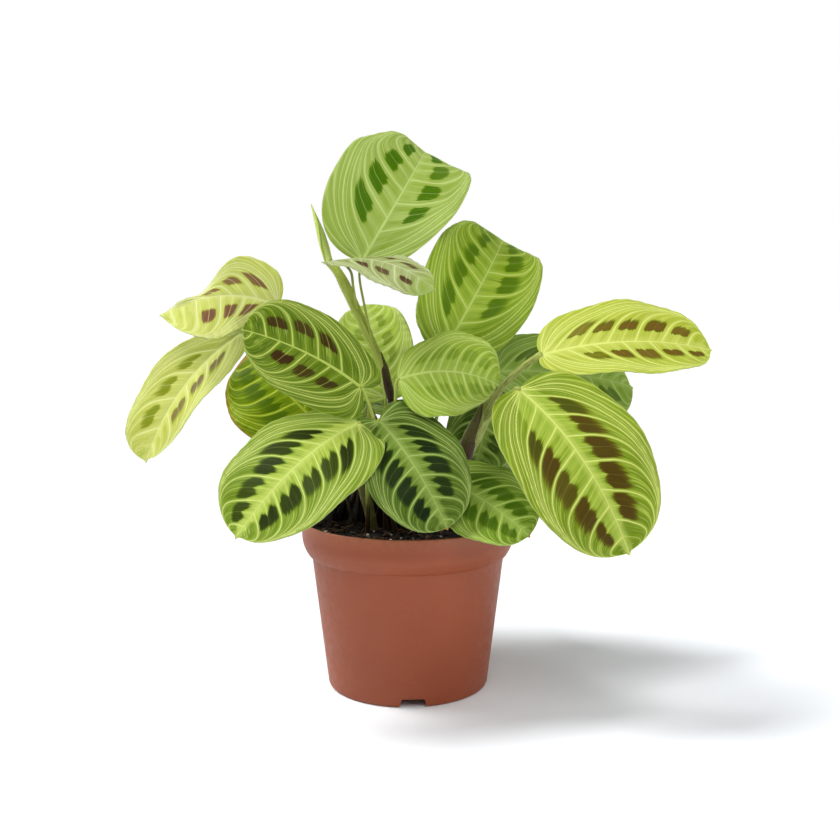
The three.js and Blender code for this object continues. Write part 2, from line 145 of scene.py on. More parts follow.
class Paint:
    """One procedural material and the short calls that build its nodes."""

    def __init__(self, name: str) -> None:
        """Makes an empty material with a principled surface.

        Args:
            name: The material's name.
        """
        self.material = bpy.data.materials.new(name)
        self.material.use_nodes = True
        self.tree = self.material.node_tree
        self.surface = self.tree.nodes["Principled BSDF"]
        self.output = self.tree.nodes["Material Output"]

    def put(self, socket: bpy.types.NodeSocket, value: "Signal | float | tuple") -> None:
        """Links a signal to a socket, or sets the socket's own value.

        Args:
            socket: The input to fill.
            value: A signal, a number or a display colour.
        """
        if isinstance(value, Signal):
            self.tree.links.new(value.socket, socket)
        elif isinstance(value, tuple) and socket.type == "RGBA":
            socket.default_value = (*linear(value), 1.0)
        else:
            socket.default_value = value

    def set(self, **values: "Signal | float | tuple") -> None:
        """Sets inputs of the principled surface.

        Args:
            **values: Their values by name, in lower case with underscores.
        """
        for name, value in values.items():
            wanted = name.replace("_", " ").lower()
            socket = next(s for s in self.surface.inputs if s.name.lower() == wanted)
            self.put(socket, value)

    def math(self, operation: str, first: "Signal | float", second: "Signal | float") -> Signal:
        """Adds a Math node.

        Args:
            operation: Blender's name of the operation.
            first: The first operand.
            second: The second operand.

        Returns:
            The result.
        """
        node = self.tree.nodes.new("ShaderNodeMath")
        node.operation = operation
        self.put(node.inputs[0], first)
        self.put(node.inputs[1], second)
        return Signal(self, node.outputs[0])

    def mark(self, name: str) -> Signal:
        """Reads a number that is stored on the mesh.

        Args:
            name: The mark's name.

        Returns:
            The number.
        """
        node = self.tree.nodes.new("ShaderNodeAttribute")
        node.attribute_name = name
        return Signal(self, node.outputs["Fac"])

    def place(self) -> Signal:
        """Gives the point on the piece, in metres."""
        return Signal(self, self.tree.nodes.new("ShaderNodeTexCoord").outputs["Object"])

    def joined(self, x: "Signal | float", y: "Signal | float", z: "Signal | float") -> Signal:
        """Joins three numbers into a vector.

        Args:
            x: The first number.
            y: The second number.
            z: The third number.

        Returns:
            The vector.
        """
        node = self.tree.nodes.new("ShaderNodeCombineXYZ")
        for socket, value in zip(node.inputs, (x, y, z)):
            self.put(socket, value)
        return Signal(self, node.outputs[0])

    def noise(self, at: Signal, scale: float, detail: float = 2.0, rough: float = 0.5) -> Signal:
        """Adds smooth noise.

        Args:
            at: Where to read the noise.
            scale: How fine it is, in waves per unit.
            detail: How many finer layers it has.
            rough: How strong the finer layers are.

        Returns:
            The noise, about 0 to 1.
        """
        node = self.tree.nodes.new("ShaderNodeTexNoise")
        self.put(node.inputs["Vector"], at)
        self.put(node.inputs["Scale"], scale)
        self.put(node.inputs["Detail"], detail)
        self.put(node.inputs["Roughness"], rough)
        return Signal(self, node.outputs["Fac"])

    def draws(self, at: Signal) -> list[Signal]:
        """Gives three random numbers that stay the same for the same vector.

        Args:
            at: The vector.

        Returns:
            The numbers, 0 to 1.
        """
        node = self.tree.nodes.new("ShaderNodeTexWhiteNoise")
        self.put(node.inputs["Vector"], at)
        split = self.tree.nodes.new("ShaderNodeSeparateColor")
        self.tree.links.new(node.outputs["Color"], split.inputs[0])
        return [Signal(self, out) for out in split.outputs[:3]]

    def cells(self, at: Signal, scale: float) -> Signal:
        """Gives the distance to the nearest of many scattered points.

        Args:
            at: Where to measure it.
            scale: How close together the points lie.

        Returns:
            The distance, in cell sizes.
        """
        node = self.tree.nodes.new("ShaderNodeTexVoronoi")
        self.put(node.inputs["Vector"], at)
        self.put(node.inputs["Scale"], scale)
        return Signal(self, node.outputs["Distance"])

    def ease(
        self,
        value: Signal,
        low: "Signal | float",
        high: "Signal | float",
        start: float = 0.0,
        end: float = 1.0,
    ) -> Signal:
        """Eases from start to end as a value goes from low to high.

        Args:
            value: The value to follow.
            low: Where the change begins.
            high: Where the change ends.
            start: The result at low and below.
            end: The result at high and above.

        Returns:
            The eased number.
        """
        node = self.tree.nodes.new("ShaderNodeMapRange")
        node.interpolation_type = "SMOOTHSTEP"
        for socket, given in zip(node.inputs, (value, low, high, start, end)):
            self.put(socket, given)
        return Signal(self, node.outputs[0])

    def mix(self, share: "Signal | float", first: "Signal | Colour", second: "Signal | Colour") -> Signal:
        """Blends two colours.

        Args:
            share: 0 for the first colour, 1 for the second.
            first: The first colour.
            second: The second colour.

        Returns:
            The blend.
        """
        node = self.tree.nodes.new("ShaderNodeMix")
        node.data_type = "RGBA"
        self.put(node.inputs[0], share)
        colours = [s for s in node.inputs if s.type == "RGBA"]
        self.put(colours[0], first)
        self.put(colours[1], second)
        return Signal(self, next(s for s in node.outputs if s.type == "RGBA"))

    def bump(self, height: Signal, distance: float, strength: float = 1.0) -> None:
        """Roughens the surface's normal.

        Args:
            height: The height, 0 to 1.
            distance: How far a height of one stands out, in millimetres.
            strength: How much of it shows.
        """
        node = self.tree.nodes.new("ShaderNodeBump")
        node.inputs["Strength"].default_value = strength
        node.inputs["Distance"].default_value = distance * MM
        self.put(node.inputs["Height"], height)
        self.put(self.surface.inputs["Normal"], Signal(self, node.outputs[0]))

    def glow_through(self, colour: Signal, share: float) -> None:
        """Lets light through a thin surface.

        Args:
            colour: The colour of the light that comes through.
            share: How much of the surface's light comes through.
        """
        thin = self.tree.nodes.new("ShaderNodeBsdfTranslucent")
        self.put(thin.inputs["Color"], colour)
        blend = self.tree.nodes.new("ShaderNodeMixShader")
        blend.inputs[0].default_value = share
        self.tree.links.new(self.surface.outputs[0], blend.inputs[1])
        self.tree.links.new(thin.outputs[0], blend.inputs[2])
        self.tree.links.new(blend.outputs[0], self.output.inputs["Surface"])


# Waves of the broad streaks and the fine hairs, from one main vein to the next
STREAKS = 9.0
HAIRS = 24.0
# Waves of the veins' wandering and of the mottling, in a metre
WANDER_SCALE = 75.0
MOTTLE_SCALE = 28.0
# How far a vein wanders, as a share of the way to the next
VEIN_WANDER = 0.12
# How soft the ends of a row of blotches are, along the blade
ROW_SOFTNESS = 0.03
# The grain's height in millimetres, and how much of it shows
BLADE_GRAIN = (0.25, 0.8)
SCORCHED = (186, 140, 70)


class VeinPlace:
    """Where a point of a blade lies among its veins, and the streaks there, as signals."""

    def __init__(self, p: Paint, seed: int = 0, wander: float = 0.0) -> None:
        """Reads the marks that are stored on the blade.

        Args:
            p: The material that reads them.
            seed: The number that sets the blade's streaks.
            wander: How far the veins wander from the stored ones.
        """
        self.reach, self.along, self.side = p.mark("reach"), p.mark("along"), p.mark("side")
        self.pitch, self.beside = p.mark("pitch"), p.mark("beside")
        number = p.mark("vein")
        if wander > 0:
            number = number + (p.noise(p.place(), WANDER_SCALE, 1.0) - 0.5) * wander
        self.cell = p.math("FLOOR", number, 0.0)
        self.off = (number - self.cell - 0.5).size()
        self.from_vein = (0.5 - self.off) * self.pitch
        row = self.side * 5.0 + seed
        self.streak = p.noise(p.joined(number * STREAKS, self.reach * 1.6, row), 1.0, 1.5)
        self.fine = p.noise(p.joined(number * HAIRS, self.reach * 2.2, row), 1.0, 1.0)


@dataclass(frozen=True)
class LeafFinish:
    """Colours and marks of a blade's upper face.

    Reaches run from 0 at the midrib to 1 at the margin, and places along the blade from 0 at the
    petiole to 1 at the tip.
    """

    slot: str
    lamina: Colour
    shade: Colour
    vein: Colour
    feather: Colour
    blotch: Colour
    fringe: Colour
    blotch_low: Colour | None = None
    blotch_base: Colour | None = None
    edge: Colour | None = None
    tip: Colour | None = None
    first: float = 0.1
    last: float = 0.86
    inner: tuple[float, float] = (0.33, 0.16)
    outer: tuple[float, float] = (0.68, 0.50)
    low_shift: float = 0.0
    gap: float = 0.09
    notch: float = 0.10
    blunt: float = 2.0
    fade: float = 0.10
    plume: float = 0.8
    split: float = 0.35
    lines: float = 0.5
    strength: float = 1.0
    scorch: float = 0.0
    glow: float = 0.28

    def paint(self, name: str, veins: float, seed: int) -> bpy.types.Material:
        """Builds the material.

        Args:
            name: The material's name.
            veins: How many main veins leave each side of the midrib.
            seed: The number that sets the blade's streaks and draws.

        Returns:
            The material.
        """
        p = Paint(name)
        at = VeinPlace(p, seed, VEIN_WANDER)
        tone = p.noise(p.place(), MOTTLE_SCALE, 2.0)
        spot, dark, inner = self.blotches(p, at, veins, seed)
        colour = p.mix(spot, self.ground(p, at, tone, inner), dark)
        colour, ridges = self.veined(p, at, spot, colour)
        colour = self.margins(p, at, tone, colour)
        p.bump(at.streak * 0.25 + at.fine * 0.2 + ridges, *BLADE_GRAIN)
        p.set(base_color=colour, roughness=p.ease(at.fine, 0.2, 0.8, 0.38, 0.52))
        p.set(specular_ior_level=0.12, ior=1.42)
        p.glow_through(colour, self.glow)
        return p.material

    def blotches(self, p: Paint, at: VeinPlace, veins: float, seed: int) -> tuple[Signal, Signal, Signal]:
        """Places the dark blotches, which are notched where they face the midrib.

        Args:
            p: The material.
            at: The place among the veins.
            veins: How many main veins leave each side of the midrib.
            seed: The number that sets the draws.

        Returns:
            How much of a blotch shows, its colour, and the reach where the blotches begin.
        """
        centre = (at.cell + 0.5) / veins
        draws = p.draws(p.joined(at.cell, at.side * 17.0, float(seed)))
        lane = at.off / (0.5 - self.gap) + (at.fine - 0.5) * 0.10
        tooth = p.math("POWER", (lane * 2.0 - 1.0).size(), self.blunt)
        shift = at.side * self.low_shift
        inner = centre * (self.inner[1] - self.inner[0]) + self.inner[0] + tooth * self.notch
        inner = inner + shift + (draws[0] - 0.5) * 0.06 + (at.fine - 0.5) * 0.07
        outer = centre * (self.outer[1] - self.outer[0]) + self.outer[0] + shift
        outer = outer - p.ease(lane, 0.6, 1.0, 0.0, 0.07) + (draws[1] - 0.5) * 0.10
        outer = outer + (at.streak + at.fine - 1.0) * self.fade * 1.5
        spot = p.ease(at.reach, inner, inner + 0.03) * p.ease(at.reach, outer - self.fade, outer, 1.0, 0.0)
        spot = spot * p.ease(lane, 0.94, 1.02, 1.0, 0.0) * p.ease(at.from_vein, 0.5, 0.95)
        spot = spot * p.ease(centre, self.first, self.first + ROW_SOFTNESS)
        spot = spot * p.ease(centre, self.last, self.last + ROW_SOFTNESS, 1.0, 0.0)
        spot = spot * p.ease(draws[2], 0.0, 0.5, 0.88 * self.strength, self.strength)
        heart = p.ease(at.reach, inner + 0.02, inner + 0.06) * p.ease(at.from_vein, 0.9, 1.7)
        heart = heart * p.ease(at.reach, outer - self.fade * 1.6, outer - self.fade * 0.5, 1.0, 0.0)
        dark = self.blotch
        if self.blotch_low is not None:
            dark = p.mix(at.side, self.blotch, self.blotch_low)
        if self.blotch_base is not None:
            dark = p.mix(p.ease(centre + (draws[1] - 0.5) * 0.2, 0.16, 0.40), self.blotch_base, dark)
        dark = p.mix(p.ease(at.streak, 0.45, 0.75, 0.0, 0.3), dark, self.fringe)
        return spot, p.mix(heart, self.fringe, dark), inner

    def ground(self, p: Paint, at: VeinPlace, tone: Signal, inner: Signal) -> Signal:
        """Colours the lamina: stripes, hairs, mottling and the pale plume along the midrib.

        Args:
            p: The material.
            at: The place among the veins.
            tone: The mottling.
            inner: The reach where the blotches begin.

        Returns:
            The colour.
        """
        strip = p.ease((at.off - 0.25).size(), 0.02, 0.22, 0.7, 0.35) + at.streak - 0.5
        colour = p.mix(p.ease(strip, 0.1, 0.9), self.lamina, self.shade)
        lit = p.ease(at.fine, 0.52, 0.72, 0.0, self.lines) * p.ease(at.reach, 0.02, 0.3, 0.35, 1.0)
        colour = p.mix(lit, colour, self.vein)
        colour = p.mix(p.ease(tone, 0.42, 0.72, 0.0, 0.55), colour, self.shade)
        colour = p.mix(p.ease(tone, 0.25, 0.45, 0.2, 0.0), colour, self.feather)
        plume = p.ease(at.reach, inner - 0.05, inner + 0.02, 1.0, 0.0) * self.plume
        return p.mix(plume * p.ease(at.streak, 0.3, 0.7, 1.0, 0.45), colour, self.feather)

    def veined(self, p: Paint, at: VeinPlace, spot: Signal, colour: Signal) -> tuple[Signal, Signal]:
        """Draws the main, second and third veins and the midrib.

        Args:
            p: The material.
            at: The place among the veins.
            spot: How much of a blotch shows.
            colour: The colour under the veins.

        Returns:
            The colour with the veins, and the height that they add.
        """
        thick = p.ease(at.reach, 0.0, 0.95, 0.24, 0.10)
        main = p.ease(at.from_vein, thick, thick + 0.18, 1.0, 0.0)
        halo = p.ease(at.from_vein, 0.2, 1.2, 0.28, 0.0)
        bare = 1.0 - spot * (1.0 - self.split)
        second = p.ease(at.off * at.pitch, 0.05, 0.28, 0.5, 0.0) * bare
        third = p.ease((at.off - 0.25).size() * at.pitch, 0.02, 0.24, 0.5, 0.0)
        third = third * p.ease(at.reach, 0.3, 0.55) * bare * self.lines
        lines = main.at_least(halo).at_least(second).at_least(third)
        colour = p.mix(lines * p.ease(at.reach, 0.93, 1.0, 0.95, 0.3), colour, self.vein)
        rib_edge = p.ease(at.along, 0.0, 0.9, 0.65, 0.15)
        rib = p.ease(at.beside, rib_edge, rib_edge + 0.3, 1.0, 0.0)
        rib_glow = p.ease(at.beside, 0.6, 4.0, 0.5, 0.0) * self.plume
        colour = p.mix((rib * 0.95).at_least(rib_glow), colour, p.mix(0.3, self.vein, self.feather))
        return colour, rib * 0.6 - main * 0.5 - second * 0.3

    def margins(self, p: Paint, at: VeinPlace, tone: Signal, colour: Signal) -> Signal:
        """Pales the margin as painted light showing through the thin edge, and browns or tints the margin
        and the tip where the blade asks for it.

        Args:
            p: The material.
            at: The place among the veins.
            tone: The mottling.
            colour: The colour under it.

        Returns:
            The colour.
        """
        uneven = tone - 0.5
        # Painted light: a thin pale line along the margin stands for light coming through the thin edge
        colour = p.mix(p.ease(at.reach, 0.97, 0.99, 0.0, 0.35), colour, self.vein)
        if self.edge is not None:
            colour = p.mix(p.ease(at.reach + uneven * 0.25, 0.93, 1.0, 0.0, 0.8), colour, self.edge)
        if self.scorch > 0:
            burnt = p.ease(at.along + uneven * 0.05, 1.0 - self.scorch, 1.02 - self.scorch)
            colour = p.mix(burnt, colour, SCORCHED)
        if self.tip is not None:
            tinted = p.ease(at.along - at.beside * 0.004 + uneven * 0.1, 0.76, 0.9, 0.0, 0.5)
            colour = p.mix(tinted, colour, self.tip)
        return colour


@dataclass(frozen=True)
class UndersideFinish:
    """The paler lower face of a blade, with raised veins."""

    lamina: Colour = (150, 170, 118)
    shade: Colour = (112, 140, 84)
    vein: Colour = (188, 202, 140)
    glow: float = 0.28

    def paint(self, name: str) -> bpy.types.Material:
        """Builds the material.

        Args:
            name: The material's name.

        Returns:
            The material.
        """
        p = Paint(name)
        at = VeinPlace(p)
        colour = p.mix(p.ease(at.streak, 0.3, 0.7), self.lamina, self.shade)
        main = p.ease(at.from_vein, 0.2, 0.7, 1.0, 0.0)
        rib_edge = p.ease(at.along, 0.0, 0.9, 1.4, 0.4)
        rib = p.ease(at.beside, rib_edge, rib_edge + 0.6, 1.0, 0.0)
        colour = p.mix((main * 0.6).at_least(rib * 0.9), colour, self.vein)
        p.bump(at.streak * 0.3 + main * 0.6, *BLADE_GRAIN)
        p.set(base_color=colour, roughness=p.ease(at.streak, 0.2, 0.8, 0.48, 0.6))
        p.set(specular_ior_level=0.35)
        p.glow_through(colour, self.glow)
        return p.material


@dataclass(frozen=True)
class StemFinish:
    """Stems, sheaths and petioles: fine lengthwise streaks, with a dark tint where a piece asks for it,
    which is brown staining and, low in the crown, painted shade.
    """

    fresh: Colour = (142, 156, 54)
    pale: Colour = (172, 184, 86)
    # The tint's dark brown: staining, and painted shade near the soil
    tint: Colour = (52, 34, 18)
    knee: Colour = (150, 170, 72)

    def paint(self, name: str) -> bpy.types.Material:
        """Builds the material.

        Args:
            name: The material's name.

        Returns:
            The material.
        """
        p = Paint(name)
        around, along = p.mark("around"), p.mark("along")
        streak = p.noise(p.joined(around * 16.0, along * 2.2, p.mark("stalk")), 1.0, 3.0, 0.6)
        blot = p.noise(p.place(), 160.0, 3.0, 0.6)
        colour = p.mix(p.ease(streak, 0.35, 0.62), self.fresh, self.pale)
        # Brown staining and painted shade: the tint mark darkens stems towards the soil, where the crown
        # lies in shade
        stain_and_shade = p.mark("tint") + (streak - 0.5) * 0.5 + (blot - 0.5) * 0.4
        colour = p.mix(p.ease(stain_and_shade, 0.15, 0.95), colour, self.tint)
        colour = p.mix(p.mark("knee"), colour, self.knee)
        p.bump(streak * 0.6 + blot * 0.3, 0.18, 0.9)
        p.set(base_color=colour, roughness=p.ease(blot, 0.2, 0.8, 0.38, 0.55))
        p.set(subsurface_weight=0.12, subsurface_scale=0.002, specular_ior_level=0.2)
        return p.material


@dataclass(frozen=True)
class PotFinish:
    """Matt terracotta-coloured plastic with faint flow marks, scuffs and specks of peat, and a painted
    highlight along the lip and at the foot of the rim band.
    """

    plastic: Colour = (139, 61, 19)
    # The paler colour of the scuffs, which also paints the highlight on the lip and the rim band
    worn_and_highlight: Colour = (168, 102, 68)
    deep: Colour = (127, 53, 13)
    dirt: Colour = (58, 40, 30)

    def paint(self, name: str) -> bpy.types.Material:
        """Builds the material.

        Args:
            name: The material's name.

        Returns:
            The material.
        """
        p = Paint(name)
        spot = p.place()
        broad = p.noise(spot, 16.0, 3.0)
        grain = p.noise(spot, 900.0, 2.0)
        scuff = p.noise(spot, 240.0, 4.0, 0.65)
        speck = p.cells(spot, 230.0)
        colour = p.mix(p.ease(broad, 0.2, 0.85), self.plastic, self.deep)
        colour = p.mix(p.ease(scuff, 0.55, 0.8, 0.0, 0.2), colour, self.worn_and_highlight)
        # Painted highlight, partly rubbed wear: the lip and the foot of the rim band take the paler colour,
        # broken by the scuffs
        colour = p.mix(p.mark("wear") * p.ease(scuff, 0.35, 0.6, 0.35, 0.9), colour, self.worn_and_highlight)
        dust = p.ease(speck, 0.05, 0.11, 1.0, 0.0) * p.ease(broad, 0.42, 0.6) * p.mark("dust")
        colour = p.mix(dust, colour, self.dirt)
        p.bump(grain * 0.5 + scuff * 0.5, 0.05, 0.7)
        p.set(base_color=colour, roughness=p.ease(scuff, 0.3, 0.7, 0.46, 0.6))
        p.set(specular_ior_level=0.5)
        return p.material


@dataclass(frozen=True)
class EarthFinish:
    """A rough natural finish that varies between two colours, such as peat, bark or perlite."""

    dark: Colour
    light: Colour
    scale: float
    lift: float
    roughness: float = 0.95

    def paint(self, name: str) -> bpy.types.Material:
        """Builds the material.

        Args:
            name: The material's name.

        Returns:
            The material.
        """
        p = Paint(name)
        coarse = p.noise(p.place(), self.scale, 5.0, 0.7)
        fine = p.noise(p.place(), self.scale * 6, 3.0, 0.6)
        colour = p.mix(p.ease(coarse * 0.7 + fine * 0.3, 0.35, 0.7), self.dark, self.light)
        p.bump(coarse * 0.6 + fine * 0.4, self.lift, 1.0)
        p.set(base_color=colour, roughness=p.ease(fine, 0.2, 0.8, self.roughness - 0.1, self.roughness))
        p.set(specular_ior_level=0.25)
        return p.material


PEAT = EarthFinish((9, 6, 4), (30, 21, 14), 220.0, 0.8)
CRUMB = EarthFinish((10, 7, 5), (46, 31, 20), 350.0, 0.4)
BARK = EarthFinish((34, 22, 13), (98, 68, 42), 300.0, 0.3, 0.85)
PERLITE = EarthFinish((140, 140, 124), (212, 210, 198), 500.0, 0.3, 0.9)


class Tone(Enum):
    """The finishes for leaf blades, each with the look that most of its blades share."""

    PALE = LeafFinish(
        slot="leaf_pale",
        lamina=(180, 200, 108), shade=(148, 174, 60), vein=(214, 231, 144),
        feather=(186, 208, 106), blotch=(76, 118, 2), fringe=(98, 136, 10),
        inner=(0.30, 0.20), outer=(0.60, 0.52), notch=0.04, blunt=1.4, fade=0.05, gap=0.17,
        plume=0.3, split=0.8,
    )
    LIME = LeafFinish(
        slot="leaf_lime",
        lamina=(152, 175, 44), shade=(104, 131, 12), vein=(222, 231, 128),
        feather=(172, 194, 74), blotch=(76, 52, 10), fringe=(94, 92, 4),
        blotch_base=(72, 78, 12),
        inner=(0.39, 0.17), outer=(0.77, 0.55), notch=0.06, blunt=2.4, gap=0.055, split=0.12,
    )
    GREEN = LeafFinish(
        slot="leaf_green",
        lamina=(147, 172, 56), shade=(106, 135, 24), vein=(220, 234, 132),
        feather=(194, 214, 92), blotch=(43, 54, 12), fringe=(70, 92, 10),
        inner=(0.27, 0.11), outer=(0.74, 0.54), notch=0.12, blunt=1.4, fade=0.07, gap=0.06,
        plume=0.9, split=0.15,
    )
    DEEP = LeafFinish(
        slot="leaf_deep",
        lamina=(102, 129, 42), shade=(69, 95, 16), vein=(176, 198, 108),
        feather=(134, 160, 64), blotch=(21, 37, 8), fringe=(50, 76, 8),
        inner=(0.26, 0.10), outer=(0.72, 0.54), notch=0.12, blunt=1.4, fade=0.06, gap=0.07,
        split=0.15,
    )
    SAGE = LeafFinish(
        slot="leaf_sage",
        lamina=(181, 191, 128), shade=(146, 158, 84), vein=(216, 224, 176),
        feather=(190, 200, 144), blotch=(88, 60, 42), fringe=(118, 102, 66),
        inner=(0.32, 0.28), outer=(0.62, 0.58), notch=0.03, blunt=4.0, fade=0.05, gap=0.2,
        plume=0.3, split=0.5,
    )


# Meshes


class Skin:
    """Collects the surfaces of one piece and makes its mesh."""

    def __init__(self) -> None:
        """Starts with no points."""
        self.points: list[np.ndarray] = []
        self.faces: list[tuple[int, ...]] = []
        self.marks: dict[str, list[np.ndarray]] = {}
        self.count = 0

    def add(self, points: np.ndarray, faces: list[tuple[int, ...]], **marks: np.ndarray) -> None:
        """Adds points and the faces between them.

        Args:
            points: Points in millimetres, one row each.
            faces: Faces as rows of indices into those points.
            **marks: Numbers to store on the mesh, one for each point.
        """
        self.points.append(points)
        self.faces.extend(tuple(i + self.count for i in face) for face in faces)
        for name, values in marks.items():
            self.marks.setdefault(name, []).append(np.broadcast_to(values, len(points)))
        self.count += len(points)

    def sweep(self, rings: np.ndarray, **marks: np.ndarray) -> None:
        """Adds a closed tube through rings of points, with a cap at each end.

        Args:
            rings: Points by ring, then by place round the ring.
            **marks: Numbers for the tube, for each ring, or for each point of each ring.
        """
        rows, sides = rings.shape[:2]
        ends = np.array([rings[0].mean(0), rings[-1].mean(0)])
        points = np.concatenate([rings.reshape(-1, 3), ends])
        faces = []
        for i in range(rows - 1):
            for j in range(sides):
                k = (j + 1) % sides
                faces.append((i * sides + j, i * sides + k, (i + 1) * sides + k, (i + 1) * sides + j))
        first, last, top = rows * sides, rows * sides + 1, (rows - 1) * sides
        for j in range(sides):
            k = (j + 1) % sides
            faces.append((first, k, j))
            faces.append((last, top + j, top + k))
        spread = {}
        for name, values in marks.items():
            grid = np.asarray(values, float)
            if grid.ndim < 2:
                grid = np.broadcast_to(grid.reshape(-1, 1), (rows, sides))
            spread[name] = np.concatenate([grid.ravel(), [grid[0].mean(), grid[-1].mean()]])
        self.add(points, faces, **spread)

    def make(self, name: str, *materials: bpy.types.Material) -> bpy.types.Object:
        """Makes the object, with smooth faces.

        Args:
            name: The piece's name.
            *materials: Its materials, the first on every face.

        Returns:
            The object, linked to the scene.
        """
        mesh = bpy.data.meshes.new(name)
        mesh.from_pydata((np.concatenate(self.points) * MM).tolist(), [], self.faces)
        for mark, values in self.marks.items():
            store = mesh.attributes.new(mark, "FLOAT", "POINT")
            store.data.foreach_set("value", np.concatenate(values).astype(np.float32))
        mesh.polygons.foreach_set("use_smooth", [True] * len(mesh.polygons))
        for material in materials:
            mesh.materials.append(material)
        mesh.update()
        return placed(name, mesh)


def settle(piece: bpy.types.Object, slot: str, *nodes: str) -> bpy.types.Object:
    """Puts a piece on the plant's one body, in place of the nodes that it stands for.

    Args:
        piece: The piece.
        slot: Not used.
        *nodes: The nodes that it replaces.

    Returns:
        The piece.
    """
    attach(piece, ROOT)
    if nodes:
        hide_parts(*nodes)
    log.info("%s: %d faces", piece.name, len(piece.data.polygons))
    return piece


def spline(points: Sequence[Point], spacing: float) -> np.ndarray:
    """Lays even points along a centripetal Catmull-Rom curve.

    Args:
        points: The points that it passes through, in millimetres.
        spacing: The distance between two points of the result.

    Returns:
        The points, one row each.
    """
    route = np.array(points, float)
    ends = np.concatenate([[2 * route[0] - route[1]], route, [2 * route[-1] - route[-2]]])
    fine = []
    for p0, p1, p2, p3 in zip(ends, ends[1:], ends[2:], ends[3:]):
        spans = (p1 - p0, p2 - p1, p3 - p2)
        d0, d1, d2 = (math.sqrt(max(np.linalg.norm(span), 1e-6)) for span in spans)
        m1 = ((p1 - p0) / d0 - (p2 - p0) / (d0 + d1) + (p2 - p1) / d1) * d1
        m2 = ((p2 - p1) / d1 - (p3 - p1) / (d1 + d2) + (p3 - p2) / d2) * d1
        for u in np.linspace(0, 1, 24, endpoint=False):
            cube, square = u**3, u**2
            fine.append(
                (2 * cube - 3 * square + 1) * p1
                + (cube - 2 * square + u) * m1
                + (3 * square - 2 * cube) * p2
                + (cube - square) * m2
            )
    fine.append(route[-1])
    line = np.array(fine)
    reach = np.concatenate([[0], np.cumsum(np.linalg.norm(np.diff(line, axis=0), axis=1))])
    steps = max(6, round(reach[-1] / spacing))
    even = np.linspace(0, reach[-1], steps + 1)
    return np.stack([np.interp(even, reach, line[:, k]) for k in range(3)], axis=1)


def carried_frames(line: np.ndarray, facing: Point) -> tuple[np.ndarray, np.ndarray]:
    """Carries two directions along a line, square to it and without twist.

    Args:
        line: The points of the line.
        facing: The way the first direction starts out.

    Returns:
        The two directions at each point.
    """
    along = unit(np.gradient(line, axis=0))
    first = np.array(facing, float)
    firsts = []
    for tangent in along:
        first = unit(first - tangent * np.dot(first, tangent))
        firsts.append(first)
    return np.array(firsts), np.cross(along, np.array(firsts))


def rings_round(
    line: np.ndarray, frames: Sequence[np.ndarray], reach: np.ndarray | float, turn: np.ndarray
) -> np.ndarray:
    """Lays a ring of points round each point of a line.

    Args:
        line: The points of the line.
        frames: The two directions at each of them.
        reach: How far from the line the points lie.
        turn: Their angles, from the first direction towards the second.

    Returns:
        The points by ring, then by place round the ring.
    """
    first, second = (direction[:, None] for direction in frames)
    out = np.cos(turn)[..., None] * first + np.sin(turn)[..., None] * second
    return line[:, None] + np.asarray(reach)[..., None] * out


# Leaf blades


# How square a blade's base and tip are, where its oval ends, and the width of its drip tip
BASE_POWER = 2.3
TIP_POWER = 2.4
OVAL_END = 0.965
DRIP_WIDTH = 0.15
# A middle control point's rise, for an arch of one
BOW = 1.33
# How fine the blade's steps are that its slopes are measured with
SLOPE_STEP = 0.004
# How far the margin's ripples are from one side to the other, in turns
RIPPLE_SHIFT = 0.25


def half_width(s: np.ndarray) -> np.ndarray:
    """Gives the share of a blade's full half width at s.

    Args:
        s: The place along the blade, from 0 at the petiole to 1 at the tip.

    Returns:
        The share: a blunt round base, nearly even sides, and a small drip tip.
    """
    early = np.sqrt(np.clip(1 - np.abs(1 - 2 * np.minimum(s, 0.5)) ** BASE_POWER, 0, None))
    u = np.clip(2 * s - 1, 0, 1)
    oval = np.sqrt(np.clip(1 - (np.minimum(u, OVAL_END) / OVAL_END) ** TIP_POWER, 0, None))
    drip = DRIP_WIDTH * np.clip((1 - u) / 0.12, 0, 1) * np.clip((u - 0.6) / 0.25, 0, 1)
    return np.where(s < 0.5, early, np.cbrt(oval**3 + drip**3))


